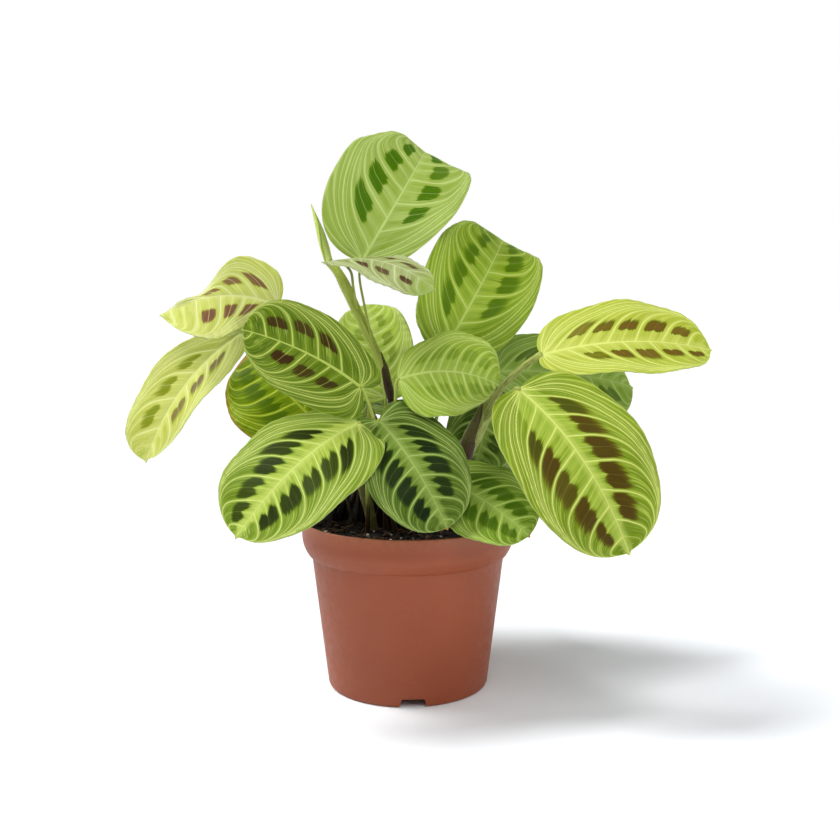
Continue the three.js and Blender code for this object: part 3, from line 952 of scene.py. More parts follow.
@dataclass
class Blade:
    """A leaf blade laid along an arched midrib, with its veins and pleats.

    s runs along it from base to tip and v across it from -1 to 1.
    """

    name: str
    finish: LeafFinish
    base: Point
    tip: Point
    face: Point
    width: float
    arch: float = 0.1
    sway: float = 0.0
    fold: float = 4.0
    hook: float = 0.0
    bias: float = 0.0
    skew: float = 0.0
    nip: float = 0.0
    twist: float = 0.0
    lobe: float = 4.0
    crest: tuple[float, float] = (0.0, 0.0)
    wave: float = 1.2
    waves: float = 2.5
    phase: float = 0.0
    veins: float = 7.0
    lean: float = 0.27
    rows: int = 104
    columns: int = 26
    thickness: float = 0.45
    pleat: float = 0.42
    channel: float = 0.45
    rib: float = 0.85
    basal: float = 3.0
    vein_starts: tuple[float, float] = (0.10, 0.62)

    def __post_init__(self) -> None:
        """Works out the midrib's control points and the blade's own directions."""
        base, tip = np.array(self.base, float), np.array(self.tip, float)
        chord = tip - base
        self.length = float(np.linalg.norm(chord))
        along = chord / self.length
        up = unit(np.array(self.face, float))
        self.up = unit(up - along * np.dot(up, along))
        side = np.cross(self.up, along)
        bow = side * self.sway * BOW * self.length
        rise = self.arch * BOW * self.length
        self.control = [
            base,
            base + 0.33 * chord + self.up * rise + bow,
            base + 0.67 * chord + self.up * (rise + self.hook * self.length) + bow,
            tip,
        ]

    def midrib(self, s: np.ndarray) -> np.ndarray:
        """Gives points of the midrib.

        Args:
            s: Places along the blade.

        Returns:
            The points, in millimetres.
        """
        t = np.asarray(s, float)[..., None]
        p0, p1, p2, p3 = self.control
        return (1 - t) ** 3 * p0 + 3 * (1 - t) ** 2 * t * p1 + 3 * (1 - t) * t**2 * p2 + t**3 * p3

    def axes(self, s: np.ndarray) -> tuple[np.ndarray, np.ndarray, np.ndarray]:
        """Gives the way along the midrib, out of the upper face and across the blade.

        Args:
            s: Places along the blade.

        Returns:
            The three directions at each place.
        """
        t = np.asarray(s, float)[..., None]
        p0, p1, p2, p3 = self.control
        along = unit((1 - t) ** 2 * (p1 - p0) + 2 * (1 - t) * t * (p2 - p1) + t**2 * (p3 - p2))
        normal = unit(self.up - along * (along @ self.up)[..., None])
        turn = -math.radians(self.twist) * (t - 0.5)
        normal = normal * np.cos(turn) + np.cross(along, normal) * np.sin(turn)
        return along, normal, np.cross(normal, along)

    def reach_at(self, s: np.ndarray, side: np.ndarray) -> np.ndarray:
        """Gives the blade's half width in millimetres.

        Args:
            s: Places along the blade.
            side: Which side, -1 or 1.

        Returns:
            The half width at each place.
        """
        share = half_width(np.clip(s + self.bias * side * s * (1 - s), 0, 1))
        nipped = 1 - np.where(side * self.nip > 0, abs(self.nip) * smooth((s - 0.22) / 0.48), 0)
        return share * nipped * 0.5 * self.width * (1 + self.skew * side)

    def surface(self, s: np.ndarray, v: np.ndarray) -> np.ndarray:
        """Gives points of the middle surface.

        Args:
            s: Places along the blade.
            v: Places across it.

        Returns:
            The points, in millimetres.
        """
        along, normal, across = self.axes(s)
        side = np.where(v < 0, -1.0, 1.0)
        reach = np.abs(v) * self.reach_at(s, side)
        fold = math.radians(self.fold)
        turn = 2 * math.pi * (self.waves * s + self.phase + np.where(v < 0, RIPPLE_SHIFT, 0))
        calm = np.clip(1.5 * half_width(s), 0, 1)
        ripple = self.wave * v * v * np.sin(turn) * calm
        ripple = ripple + 0.2 * np.abs(v) ** 5 * np.sin(5.3 * turn + 1.1 * side) * calm
        back = 2.6 * self.lobe * np.abs(v) ** 1.5 * half_width(s) * np.clip(1 - s / 0.45, 0, 1) ** 2
        ahead = np.where(v < 0, *self.crest) * np.abs(v) ** 1.5 * half_width(s) * smooth((s - 0.55) / 0.35)
        out = (side * reach * math.cos(fold))[..., None] * across + (ahead - back)[..., None] * along
        return self.midrib(s) + out + (reach * math.sin(fold) + ripple)[..., None] * normal

    def vein_number(self, s: np.ndarray, t: np.ndarray, side: np.ndarray) -> np.ndarray:
        """Finds which vein runs through a place.

        Args:
            s: Places along the blade.
            t: Reach from the midrib, 0 to 1.
            side: Which side, -1 or 1.

        Returns:
            The vein's number, whole on a main vein and below 0 for the basal veins.
        """
        run = self.lean * t + (0.9 - self.lean) * t**5
        start = np.where(s >= run, (s - run) / (1 - run), s / np.maximum(run, 1e-4) - 1)
        for _ in range(10):
            lean = self.lean + (0.8 - self.lean) * smooth((start - 0.45) / 0.5)
            bent = lean * t + (0.9 - lean) * t**5
            start = np.where(s >= run, np.clip((s - bent) / (1 - bent), 0, 1), start)
        number = start * np.where(start >= 0, self.veins, self.basal)
        return number + np.where(side < 0, *self.vein_starts)

    def build(self, seed: int) -> bpy.types.Object:
        """Builds the blade's mesh with its vein marks, and dresses it.

        Args:
            seed: The number that sets its streaks.

        Returns:
            The finished piece.
        """
        even = np.linspace(0, 1, self.rows + 1)
        s_line = 0.45 * even + 0.55 * (0.5 - 0.5 * np.cos(np.pi * even))
        s, v = np.meshgrid(s_line, np.linspace(-1, 1, 2 * self.columns + 1), indexing="ij")
        middle = self.surface(s, v)
        marks = {side: self.vein_marks(s, np.abs(v), side) for side in (-1.0, 1.0)}
        both = {name: np.where(v < 0, marks[-1.0][name], marks[1.0][name]) for name in marks[1.0]}
        normal = unit(np.cross(np.gradient(middle, axis=0), np.gradient(middle, axis=1)))
        _, plain, _ = self.axes(s)
        normal[[0, -1]] = plain[[0, -1]]
        relief = self.relief(s, np.abs(v), both)
        half = 0.5 * self.thickness * (1 - 0.45 * np.abs(v) ** 3)
        rib = self.rib * (1 - 0.8 * s) * np.exp(-(both["beside"] ** 2))
        upper = middle + normal * (half + relief)[..., None]
        lower = middle - normal * (half - relief + rib)[..., None]
        mesh = self.stitch(upper, lower, marks)
        mesh.materials.append(self.finish.paint(f"{self.name}_upper", self.veins, seed))
        mesh.materials.append(UndersideFinish().paint(f"{self.name}_under"))
        return settle(placed(f"{self.name}_blade", mesh), self.finish.slot, self.name)

    def vein_marks(self, s: np.ndarray, t: np.ndarray, side: float) -> dict[str, np.ndarray]:
        """Works out the numbers that the finish reads, as if the whole blade were one side.

        Args:
            s: Places along the blade.
            t: Reach from the midrib.
            side: Which side, -1 or 1.

        Returns:
            The marks by name, on the same grid.
        """
        sides = np.full_like(s, side)
        low, high = SLOPE_STEP, 1 - SLOPE_STEP
        s_in, t_in = np.clip(s, low, high), np.clip(t, low, high)
        here = self.surface(s_in, t_in * side)
        number = self.vein_number(s_in, t_in, sides)
        gradient = self.steepness(
            (self.surface(s_in + SLOPE_STEP, t_in * side) - here) / SLOPE_STEP,
            (self.surface(s_in, (t_in + SLOPE_STEP) * side) - here) / SLOPE_STEP,
            (self.vein_number(s_in + SLOPE_STEP, t_in, sides) - number) / SLOPE_STEP,
            (self.vein_number(s_in, t_in + SLOPE_STEP, sides) - number) / SLOPE_STEP,
        )
        return {
            "vein": self.vein_number(s, t, sides),
            "reach": t,
            "along": s,
            "beside": t * self.reach_at(s, sides),
            "side": np.full_like(s, (side + 1) / 2),
            "pitch": 1 / np.maximum(gradient, 1e-3),
        }

    @staticmethod
    def steepness(down: np.ndarray, over: np.ndarray, by_s: np.ndarray, by_t: np.ndarray) -> np.ndarray:
        """Gives how fast a number changes over a surface, in units per millimetre.

        Args:
            down: How the surface point moves with s.
            over: How it moves with t.
            by_s: How the number changes with s.
            by_t: How it changes with t.

        Returns:
            The length of the number's gradient on the surface.
        """
        e, f, g = (down * down).sum(-1), (down * over).sum(-1), (over * over).sum(-1)
        area = np.maximum(e * g - f * f, 1e-6)
        return np.sqrt(np.maximum((g * by_s**2 - 2 * f * by_s * by_t + e * by_t**2) / area, 0))

    def relief(self, s: np.ndarray, t: np.ndarray, marks: dict[str, np.ndarray]) -> np.ndarray:
        """Gives how far the upper face stands out: pleats between the veins and a channel at the midrib.

        Args:
            s: Places along the blade.
            t: Reach from the midrib.
            marks: The vein marks.

        Returns:
            The height in millimetres.
        """
        main = np.abs(np.sin(np.pi * marks["vein"]))
        second = np.exp(-(((marks["vein"] % 1 - 0.5) * marks["pitch"] / 0.8) ** 2))
        calm = smooth(t / 0.22) * smooth((1 - t) / 0.22) * smooth(marks["pitch"] / 5)
        channel = self.channel * (1 - 0.6 * s) * np.exp(-((marks["beside"] / 1.3) ** 2))
        return self.pleat * calm * (main**0.8 - 0.6 - 0.22 * second) - channel

    def stitch(
        self, upper: np.ndarray, lower: np.ndarray, marks: dict[float, dict[str, np.ndarray]]
    ) -> bpy.types.Mesh:
        """Joins the two faces of the blade at its margin into one closed mesh.

        Args:
            upper: The upper face's points.
            lower: The lower face's points.
            marks: The vein marks of each side.

        Returns:
            The mesh, with the marks on its corners and its underside in the second material.
        """
        rows, cols = upper.shape[:2]
        under = rows * cols
        i, j = np.mgrid[0 : rows - 1, 0 : cols - 1]
        face_rows = np.stack([i, i + 1, i + 1, i], axis=-1)
        face_cols = np.stack([j, j, j + 1, j + 1], axis=-1)
        on_left = np.stack([j < self.columns] * 4, axis=-1)
        faces, corners, materials = [], [], []
        for kept, strip in (((0, 1, 2), 0), ((0, 1, 2, 3), slice(1, -1)), ((0, 2, 3), -1)):
            grids = (face_rows, face_cols, on_left)
            spot = [grid[strip][..., list(kept)].reshape(-1, len(kept)) for grid in grids]
            for below in (0, under):
                order = slice(None, None, -1 if below else 1)
                row, col, left = (part[:, order] for part in spot)
                pole_col = np.where((row == 0) | (row == rows - 1), 0, col)
                faces.extend((row * cols + pole_col + below).tolist())
                corners.append(np.stack([row.ravel(), col.ravel(), left.ravel()]))
                materials.extend([1 if below else 0] * len(row))
        for col, order in ((0, slice(None, None, -1)), (cols - 1, slice(None))):
            row = np.arange(rows - 1)
            ring_rows = np.stack([row, row + 1, row + 1, row], axis=-1)[:, order]
            pole_col = np.where((ring_rows == 0) | (ring_rows == rows - 1), 0, col)
            shift = np.array([0, 0, under, under])[order]
            faces.extend((ring_rows * cols + pole_col + shift).tolist())
            flat = ring_rows.ravel()
            corners.append(np.stack([flat, np.full_like(flat, col), np.full_like(flat, col == 0)]))
            materials.extend([1] * (rows - 1))

        mesh = bpy.data.meshes.new(self.name)
        points = np.concatenate([upper.reshape(-1, 3), lower.reshape(-1, 3)]) * MM
        used = np.unique(np.concatenate([np.ravel(face) for face in faces]))
        renumber = np.zeros(len(points), int)
        renumber[used] = np.arange(len(used))
        mesh.from_pydata(points[used].tolist(), [], [renumber[face].tolist() for face in faces])
        rows_of, cols_of, left_of = np.concatenate(corners, axis=1)
        for name in marks[1.0]:
            here = (rows_of, cols_of)
            values = np.where(left_of, marks[-1.0][name][here], marks[1.0][name][here])
            store = mesh.attributes.new(name, "FLOAT", "CORNER")
            store.data.foreach_set("value", values.astype(np.float32))
        mesh.polygons.foreach_set("material_index", materials)
        mesh.polygons.foreach_set("use_smooth", [True] * len(mesh.polygons))
        mesh.update()
        return mesh


def tuned(tone: Tone, **changes: object) -> LeafFinish:
    """Gives a tone's finish with some of its values changed for one blade."""
    return replace(tone.value, **changes)


# Its greens are partly its own and partly painted light, brightened to make up for the shade cast on it by
# the leaves above
UPPER_RIGHT = tuned(
    Tone.GREEN, lamina=(166, 191, 60), shade=(118, 150, 12), vein=(205, 223, 118), feather=(178, 202, 78),
    blotch=(76, 112, 0), fringe=(98, 134, 4), plume=0.4, inner=(0.30, 0.20), outer=(0.66, 0.58), gap=0.10,
    notch=0.05, last=0.92, split=0.5, fade=0.10, strength=0.85,
)
CENTRE = tuned(
    Tone.PALE, strength=0.4, lamina=(180, 204, 82), shade=(138, 168, 38), vein=(208, 224, 128), lines=0.6,
    outer=(0.66, 0.6),
)
RIGHT_HIGH = tuned(
    Tone.LIME, lamina=(200, 209, 88), shade=(165, 179, 48), vein=(229, 237, 134), feather=(206, 214, 104),
    blotch=(114, 88, 30), blotch_base=(124, 126, 26), inner=(0.30, 0.22), outer=(0.62, 0.56), plume=0.5,
    gap=0.14, notch=0.04,
)
RIGHT_BACK = tuned(
    Tone.DEEP, lamina=(158, 182, 92), shade=(120, 150, 46), blotch=(48, 72, 16), strength=0.6,
    vein=(178, 202, 112),
)
LEFT_MID = tuned(
    Tone.DEEP, lamina=(116, 144, 22), shade=(80, 108, 4), vein=(208, 222, 114), feather=(134, 162, 38),
    blotch=(66, 42, 8), fringe=(76, 62, 8), blotch_base=(66, 64, 10), plume=0.1, inner=(0.34, 0.27),
    outer=(0.64, 0.58), notch=0.03, blunt=3.0, split=0.8, fade=0.05, first=0.12, last=0.8, gap=0.13,
    low_shift=-0.08,
)
LEFT_LOW = tuned(
    Tone.LIME, lamina=(217, 222, 116), shade=(194, 203, 82), vein=(245, 248, 168), feather=(222, 228, 124),
    blotch=(132, 146, 20), blotch_low=(132, 106, 76), gap=0.14, fringe=(150, 162, 34), plume=0.5, fade=0.12,
    last=0.8, split=0.7, blotch_base=None, inner=(0.28, 0.2), outer=(0.62, 0.54),
)
LEFT_HIGH = tuned(
    Tone.LIME, lamina=(232, 238, 130), shade=(200, 210, 84), vein=(250, 252, 186), feather=(238, 242, 146),
    blotch=(138, 94, 70), fringe=(168, 152, 66), blotch_base=None, plume=0.4, first=0.03,
    inner=(0.30, 0.26), outer=(0.66, 0.58), notch=0.02, blunt=4.0, split=1.0, fade=0.05, gap=0.2,
)
LEFT_BACK = tuned(
    Tone.GREEN, lamina=(138, 163, 0), shade=(98, 128, 0), vein=(208, 224, 74), feather=(148, 172, 20),
    blotch=(68, 100, 0), fringe=(84, 114, 0), plume=0.3, strength=0.75, fade=0.14, scorch=0.06,
    edge=(170, 138, 46),
)
# Its greens are partly its own and partly painted light, brightened to make up for the shadow of the leaves
# in front
CENTRE_BACK = tuned(
    Tone.PALE, lamina=(214, 235, 108), shade=(170, 198, 58), vein=(236, 247, 156), blotch=(122, 144, 24),
    strength=0.6, fade=0.12,
)
RIGHT_LOW = tuned(
    Tone.DEEP, scorch=0.035, lamina=(150, 180, 64), shade=(104, 138, 22), vein=(208, 230, 122),
    feather=(172, 200, 88), blotch=(62, 100, 0), fringe=(84, 122, 4), strength=0.75,
)
PALE, GREEN, DEEP = Tone.PALE.value, Tone.GREEN.value, Tone.DEEP.value

BLADES = [
    Blade("leaf_top", tuned(Tone.PALE, first=0.14, last=0.93, outer=(0.66, 0.56), gap=0.15),
          (-26, 5, 239), (10, 58, 307), (0.3, -1, 0.35), 72.5,
          arch=0.17, fold=8, bias=0.5, hook=0.05, skew=0.09, crest=(8, 1), wave=2.0, veins=5.0),
    Blade("leaf_small_top", tuned(Tone.SAGE, last=0.8, tip=(150, 178, 52)),
          (-43, -10, 239), (15, -42, 223), (0.12, -0.4, 1), 40,
          fold=-6, hook=0.04, bias=0.6, wave=0.8, twist=-24, veins=4.6),
    Blade("leaf_upper_right", UPPER_RIGHT, (20, 0, 189), (57, 58, 254.5), (0.25, -1, 0.4), 66.5,
          arch=0.15, fold=6, bias=-0.1, hook=0.05, skew=0.03, crest=(11, -2), wave=1.5, veins=5.2),
    Blade("leaf_centre", CENTRE, (-5, -30, 176), (50, -25, 172), (0, -1, 0.6), 52,
          arch=0.14, fold=-4, sway=0.05, bias=-0.5, lobe=1.5, veins=6.4),
    Blade("leaf_right_high", RIGHT_HIGH, (71, -30, 189), (164, -25, 191), (0, -1, 0.9), 50,
          fold=0, skew=0.16, veins=6.4),
    Blade("leaf_right_front", tuned(Tone.LIME, low_shift=-0.09, blotch=(80, 62, 10), fringe=(94, 88, 10)),
          (58, -45, 172), (110, -85, 93), (0.15, -1, 0.5), 71,
          arch=0.13, fold=0, sway=0.02, bias=0.1, lobe=5.5, veins=6.5),
    Blade("leaf_right_back", RIGHT_BACK, (48, 20, 177), (135, 40, 166), (0, -1, 0.7), 54,
          arch=0.08, fold=0, bias=0.5, veins=6.0),
    Blade("leaf_front_left", GREEN, (-25, -41, 154), (-84, -84, 101), (-0.25, -1, 0.6), 63,
          arch=0.13, fold=0, bias=0.25, skew=0.04, lobe=4.5, veins=6.4),
    Blade("leaf_front_mid", tuned(Tone.DEEP, scorch=0.03, lines=0.3),
          (-15, -38, 155), (21, -72, 103), (0.2, -1, 0.65), 55,
          arch=0.12, fold=0, bias=0.1, lobe=13, veins=5.8),
    Blade("leaf_left_mid", LEFT_MID, (-23.5, -40, 172), (-85, -50, 203), (0, -1, 0.35), 48,
          arch=0.08, fold=0, sway=-0.04, bias=0.3, skew=0.03, lobe=11, veins=4.8),
    Blade("leaf_left_low", LEFT_LOW, (-89, -20, 201), (-137, -45, 133), (-0.45, -1, 0.1), 37,
          arch=0.08, fold=12, sway=-0.05, skew=-0.08, bias=0.4, wave=1.5, waves=2.0, phase=0.15, veins=5.0),
    Blade("leaf_left_high", LEFT_HIGH, (-71, -5, 215), (-129, -40, 210), (-0.1, -1, 0.6), 56,
          arch=0.08, sway=-0.08, bias=-0.9, nip=-0.85, twist=-15, veins=4.8),
    Blade("leaf_left_back", LEFT_BACK, (-50, -4, 149), (-94, 26, 188), (-0.15, -1, 0.25), 67,
          arch=0.08, fold=0, veins=5.2),
    Blade("leaf_centre_back", CENTRE_BACK, (-13, 12, 162), (-26, 48, 216), (0, -1, 0.3), 45,
          fold=0, veins=5.0),
    Blade("leaf_right_low", RIGHT_LOW, (16, -28, 122), (63, -66, 98), (0.15, -1, 0.9), 50,
          fold=0, veins=5.4),
    Blade("leaf_right_mid", tuned(Tone.DEEP, strength=0.5), (51, 25, 167), (38, 14, 118), (0, -1, 0.4), 44,
          arch=0.08, fold=0, lobe=8, veins=5.0),
    Blade("leaf_back_left", GREEN, (-34, 22, 150), (-78, 78, 172), (-0.3, 0.6, 1), 50,
          arch=0.12, veins=6.0),
    Blade("leaf_back_mid", PALE, (-8, 38, 150), (-14, 102, 142), (-0.1, 0.5, 1), 48,
          arch=0.14, veins=5.4),
    Blade("leaf_back_right", GREEN, (42, 30, 152), (84, 86, 150), (0.3, 0.5, 1), 52,
          arch=0.12, veins=6.2),
    Blade("leaf_back_high", Tone.LIME.value, (22, 28, 196), (36, 84, 222), (0.1, 0.5, 1), 46,
          arch=0.12, veins=5.6),
    Blade("leaf_back_low_left", DEEP, (-22, 34, 122), (-62, 84, 98), (-0.3, 0.6, 1), 50,
          arch=0.14, veins=5.8),
    Blade("leaf_back_low_right", DEEP, (20, 36, 120), (58, 88, 96), (0.3, 0.6, 1), 50,
          arch=0.14, veins=6.0),
    Blade("leaf_back_tall", GREEN, (-20, 30, 178), (-42, 88, 202), (-0.2, 0.5, 1), 50,
          arch=0.13, veins=5.8),
]


# Stems


# The distance between two rings of a petiole or sheath, and of a stem
STALK_STEP = 1.2
STEM_STEP = 1.5
# The points round a petiole, round a stem and across a sheath
STALK_SIDES = 18
STEM_SIDES = 32
SHEATH_LANES = 20
# How long and how swollen a petiole's knee is, and how deep its groove
KNEE_LENGTH = 4.0
KNEE_SWELL = 0.12
GROOVE = 0.16
# A sheath's thickness, and how far round it reaches to each side, in degrees by place along it
SHEATH_WALL = 0.45
SHEATH_WRAP = ((0, 0.35, 0.8, 1), (172, 150, 100, 55))
# The numbers that set the streaks of sheaths, side petioles and free petioles start here
SHEATH_STREAKS = 3.0
PETIOLE_STREAKS = 11.0
RISER_STREAKS = 20.0


@dataclass(frozen=True)
class Petiole:
    """A leaf stalk: where it starts out, and the blade that it carries."""

    blade: str
    radii: tuple[float, ...]
    route: tuple[Point, ...]
    tint: tuple[float, ...] = (0.1, 0.1)

    def add_to(self, skin: Skin, blades: dict[str, Blade], mark: float) -> None:
        """Adds the stalk to a piece, with its thicker pale knee below the blade.

        Args:
            skin: The piece.
            blades: The blades by name.
            mark: A number of the stalk's own, which sets its streaks.
        """
        blade = blades[self.blade]
        start = blade.control[0]
        along = unit(blade.control[1] - blade.control[0])
        line = spline([*self.route, tuple(start), tuple(start + along)], STALK_STEP)
        share = np.linspace(0, 1, len(line))
        left = (1 - share) * len(line) * STALK_STEP
        knee = smooth(1.3 - left / KNEE_LENGTH)
        radius = evenly(share, self.radii) * (1 + KNEE_SWELL * knee) * (1 - 0.35 * smooth(1 - left / 1.8))
        turn = np.linspace(0, 2 * np.pi, STALK_SIDES, endpoint=False)
        groove = 1 - GROOVE * np.exp(-(((turn - np.pi / 2) / 0.5) ** 2))
        rings = rings_round(line, carried_frames(line, (0.2, -1, 0.3)), radius[:, None] * groove, turn)
        around = np.broadcast_to(np.abs(turn / np.pi - 1), rings.shape[:2])
        tint = evenly(share, self.tint)
        skin.sweep(rings, around=around, along=share * 3, knee=knee * 0.6, tint=tint, stalk=mark)


@dataclass(frozen=True)
class Sheath:
    """The base of a leaf stalk that wraps its stem, open on one side, and ends in a point."""

    route: tuple[Point, ...]
    radii: tuple[float, ...]
    facing: Point
    tint: tuple[float, float] = (0.2, 0.6)

    def add_to(self, skin: Skin, mark: float) -> None:
        """Adds the sheath to a piece.

        Args:
            skin: The piece.
            mark: A number of the sheath's own, which sets its streaks.
        """
        line = spline(self.route, STALK_STEP)
        share = np.linspace(0, 1, len(line))
        first, second = carried_frames(line, self.facing)
        spread = np.radians(np.interp(share, *SHEATH_WRAP))
        lane = np.linspace(-1, 1, SHEATH_LANES)
        angle = spread[:, None] * lane
        outer = evenly(share, self.radii)[:, None] * (1 + 0.10 * lane**6 * smooth(share * 3)[:, None])
        inner = outer - SHEATH_WALL * (1 - 0.6 * np.abs(lane) ** 4)
        turn = np.concatenate([angle, angle[:, ::-1]], axis=1)
        reach = np.concatenate([outer, inner[:, ::-1]], axis=1)
        around = np.broadcast_to(np.concatenate([lane, lane[::-1]]), reach.shape)
        tint = evenly(share, self.tint)[:, None] + 0.6 * np.abs(around) ** 4
        rings = rings_round(line, (-first, second), reach, turn)
        skin.sweep(rings, around=around, along=share * 2, knee=0.0, tint=tint, stalk=mark)


@dataclass
class Shoot:
    """A stem that stands in the soil, the sheaths that wrap it and the petioles that leave it."""

    name: str
    slot: str
    foot: tuple[float, float]
    route: list[Point]
    radii: list[float]
    # How far the dark tint shows along the stem: partly brown staining, partly painted shade low in the
    # crown
    tints: list[float]
    sheaths: list[Sheath]
    petioles: list[Petiole]
    finish: StemFinish = StemFinish()

    def build(self, blades: dict[str, Blade]) -> bpy.types.Object:
        """Builds the shoot as one piece.

        Args:
            blades: The blades by name.

        Returns:
            The finished piece.
        """
        skin = Skin()
        self.trunk(skin)
        for number, sheath in enumerate(self.sheaths):
            sheath.add_to(skin, SHEATH_STREAKS + number)
        for number, petiole in enumerate(self.petioles):
            petiole.add_to(skin, blades, PETIOLE_STREAKS + number)
        return settle(skin.make(f"{self.name}_stem", self.finish.paint(self.name)), self.slot, self.name)

    def trunk(self, skin: Skin) -> None:
        """Adds the stem, ribbed lengthwise, with slightly swollen nodes.

        Args:
            skin: The piece.
        """
        line = spline([*footing(self.foot), *self.route], STEM_STEP)
        share = np.linspace(0, 1, len(line))
        radius = evenly(share, [self.radii[0], self.radii[0], *self.radii])
        radius = radius * (1 + 0.07 * np.sin(share * 19) ** 8)
        turn = np.linspace(0, 2 * np.pi, STEM_SIDES, endpoint=False)
        ribs = 1 + 0.03 * np.sin(turn * 7) + 0.05 * np.exp(-(((turn - 1.2) / 0.18) ** 2))
        rings = rings_round(line, carried_frames(line, (0, -1, 0)), radius[:, None] * ribs, turn)
        around = np.broadcast_to(np.abs(turn / np.pi - 1) * 2, rings.shape[:2])
        tint = evenly(share, self.tints)
        skin.sweep(rings, around=around, along=share * 4, knee=0.0, tint=tint, stalk=1.0)


# The top of the soil, how deep a stem stands in it, and how far above its hole's bottom
SOIL_LEVEL = 87.0
STEM_DEPTH = 11.0
SEAT = 0.3
# A free petiole's radius and its dark tint, from the bottom of its hole to its blade; the tint is brown
# staining and painted shade, darkest near the soil
RISER_RADII = (1.6, 1.3, 1.1, 0.9)
RISER_TINT = (1.3, 0.9, 0.3, 0.1, 0.08)


def footing(foot: tuple[float, float]) -> list[Point]:
    """Gives the upright stretch of a stem that stands in its hole in the soil.

    Args:
        foot: Where the stem stands.

    Returns:
        Three points, from the bottom of the hole upwards.
    """
    heights = (SOIL_LEVEL - STEM_DEPTH + SEAT, SOIL_LEVEL - STEM_DEPTH / 2, SOIL_LEVEL + 3)
    return [(*foot, z) for z in heights]


def riser(blade: str, foot: tuple[float, float], *way: Point) -> Petiole:
    """Describes a petiole that rises from the soil on its own.

    Args:
        blade: The blade that it carries.
        foot: Where it stands.
        *way: The points on its way up.

    Returns:
        The petiole.
    """
    return Petiole(blade, RISER_RADII, (*footing(foot), *way), RISER_TINT)


BROWN_STEM = StemFinish(fresh=(112, 122, 44), pale=(168, 174, 98), tint=(60, 38, 20), knee=(160, 172, 82))
# The rolled leaf's greens are partly its own and partly painted light, lightened to make up for the shade
# inside the roll
SPIKE = StemFinish(fresh=(184, 202, 98), pale=(204, 218, 128), knee=(190, 208, 104))
# Dry brown sheaths, dark enough also to stand for the shade low in the crown
DRY_SHEATH = StemFinish(fresh=(78, 64, 34), pale=(118, 98, 58), tint=(24, 17, 10))

SHOOTS = [
    Shoot(
        "shoot_tall", "stem_green", (2, 8),
        [(-3, 8, 130), (-8, 5, 155), (-10.6, 4, 170), (-13.8, 4, 180), (-18.8, 5, 191), (-28.8, 8, 212),
         (-39.4, 11, 233.5), (-45, 13, 240)],
        [3.0, 2.6, 2.1, 2.2, 2.4, 2.8, 3.0, 2.3],
        [0.9, 0.7, 0.6, 0.2, 0.0, -0.1, -0.1, -0.1],
        [
            Sheath(((-6.5, 4.6, 148), (-9.3, 3.6, 162), (-11.4, 3.4, 172), (-15, 3.6, 189)),
                   (1.8, 1.9, 2.5, 2.3, 0.3), (-0.8, 0.6, 0), (1.1, 0.7)),
            Sheath(((-3, 6, 116), (-2, 3, 138), (5, -1, 154), (16, -4, 156)),
                   (3.2, 4.4, 3.6, 0.5), (0.2, 1, 0.4), (0.5, 0.6)),
            Sheath(((-8, 4, 110), (-16, 2, 135), (-20, 0, 150), (-22, -2, 162)),
                   (3, 5, 4.6, 0.6), (0.2, 1, 0), (0.6, 0.4)),
        ],
        [
            Petiole("leaf_top", (0.75, 0.7),
                    ((-14, 3, 180), (-19, 3, 193), (-24.6, 3, 217), (-27, 4, 232)), (-0.1, 0.3, 0.65)),
            Petiole("leaf_small_top", (0.8, 0.75),
                    ((-28.6, 5, 213), (-30.2, 0, 225), (-31.5, -3, 234), (-36, -6, 238.2)), (0.2, 0.8)),
        ],
    ),
    Shoot(
        "shoot_right", "stem_sheath", (18, -4),
        [(24, -6, 108), (33, -10, 136), (47, -12, 164)],
        [4.2, 4.6, 4.8, 3.7],
        [1.1, 1.0, 0.5, 0.2, 0.1],
        [
            Sheath(((29, -9, 124), (36, -13, 146), (42, -16, 164)),
                   (5.1, 3.9, 0.4), (0.8, 0.7, 0), (0.9, 0.6)),
            Sheath(((30, -7, 128), (40, -8, 152), (49, -7, 171)),
                   (5.0, 3.6, 0.4), (-0.6, 0.8, 0), (0.6, 0.1)),
        ],
        [
            Petiole("leaf_right_front", (1.5, 1.4),
                    ((38, -11, 147), (47, -19, 158), (54, -33, 167)), (0.3, 0.1)),
            Petiole("leaf_right_high", (2.0, 1.7), ((40, -11, 150), (54, -16, 173)), (0.15, -0.1)),
            Petiole("leaf_right_back", (1.3, 1.3), ((40, -11, 150), (43, -2, 170)), (0.4, 0.3)),
            Petiole("leaf_right_mid", (1.1, 1.1), ((30, -9, 128), (40, 4, 148)), (0.4, 0.3)),
        ],
        BROWN_STEM,
    ),
    Shoot(
        "shoot_left", "stem_sheath", (-20, -3),
        [(-27, -6, 118), (-47, -12, 158), (-67, -13, 190)],
        [3.0, 3.0, 2.6, 1.9],
        [0.7, 0.6, 0.6, 0.9, 0.4],
        [
            Sheath(((-37, -9, 142), (-49, -14, 161), (-59, -17, 175)),
                   (3.5, 3.4, 0.4), (0.2, 1, 0), (0.7, 0.9)),
        ],
        [
            Petiole("leaf_left_low", (1.2, 1.2), ((-58, -13, 180), (-76, -13, 202)), (0.3, 0.1)),
            Petiole("leaf_left_high", (1.2, 1.2), ((-58, -13, 180), (-66, -9, 206)), (0.3, 0.1)),
            Petiole("leaf_left_back", (1.2, 1.2), ((-27, -6, 116), (-38, -3, 136)), (0.4, 0.2)),
        ],
        BROWN_STEM,
    ),
]

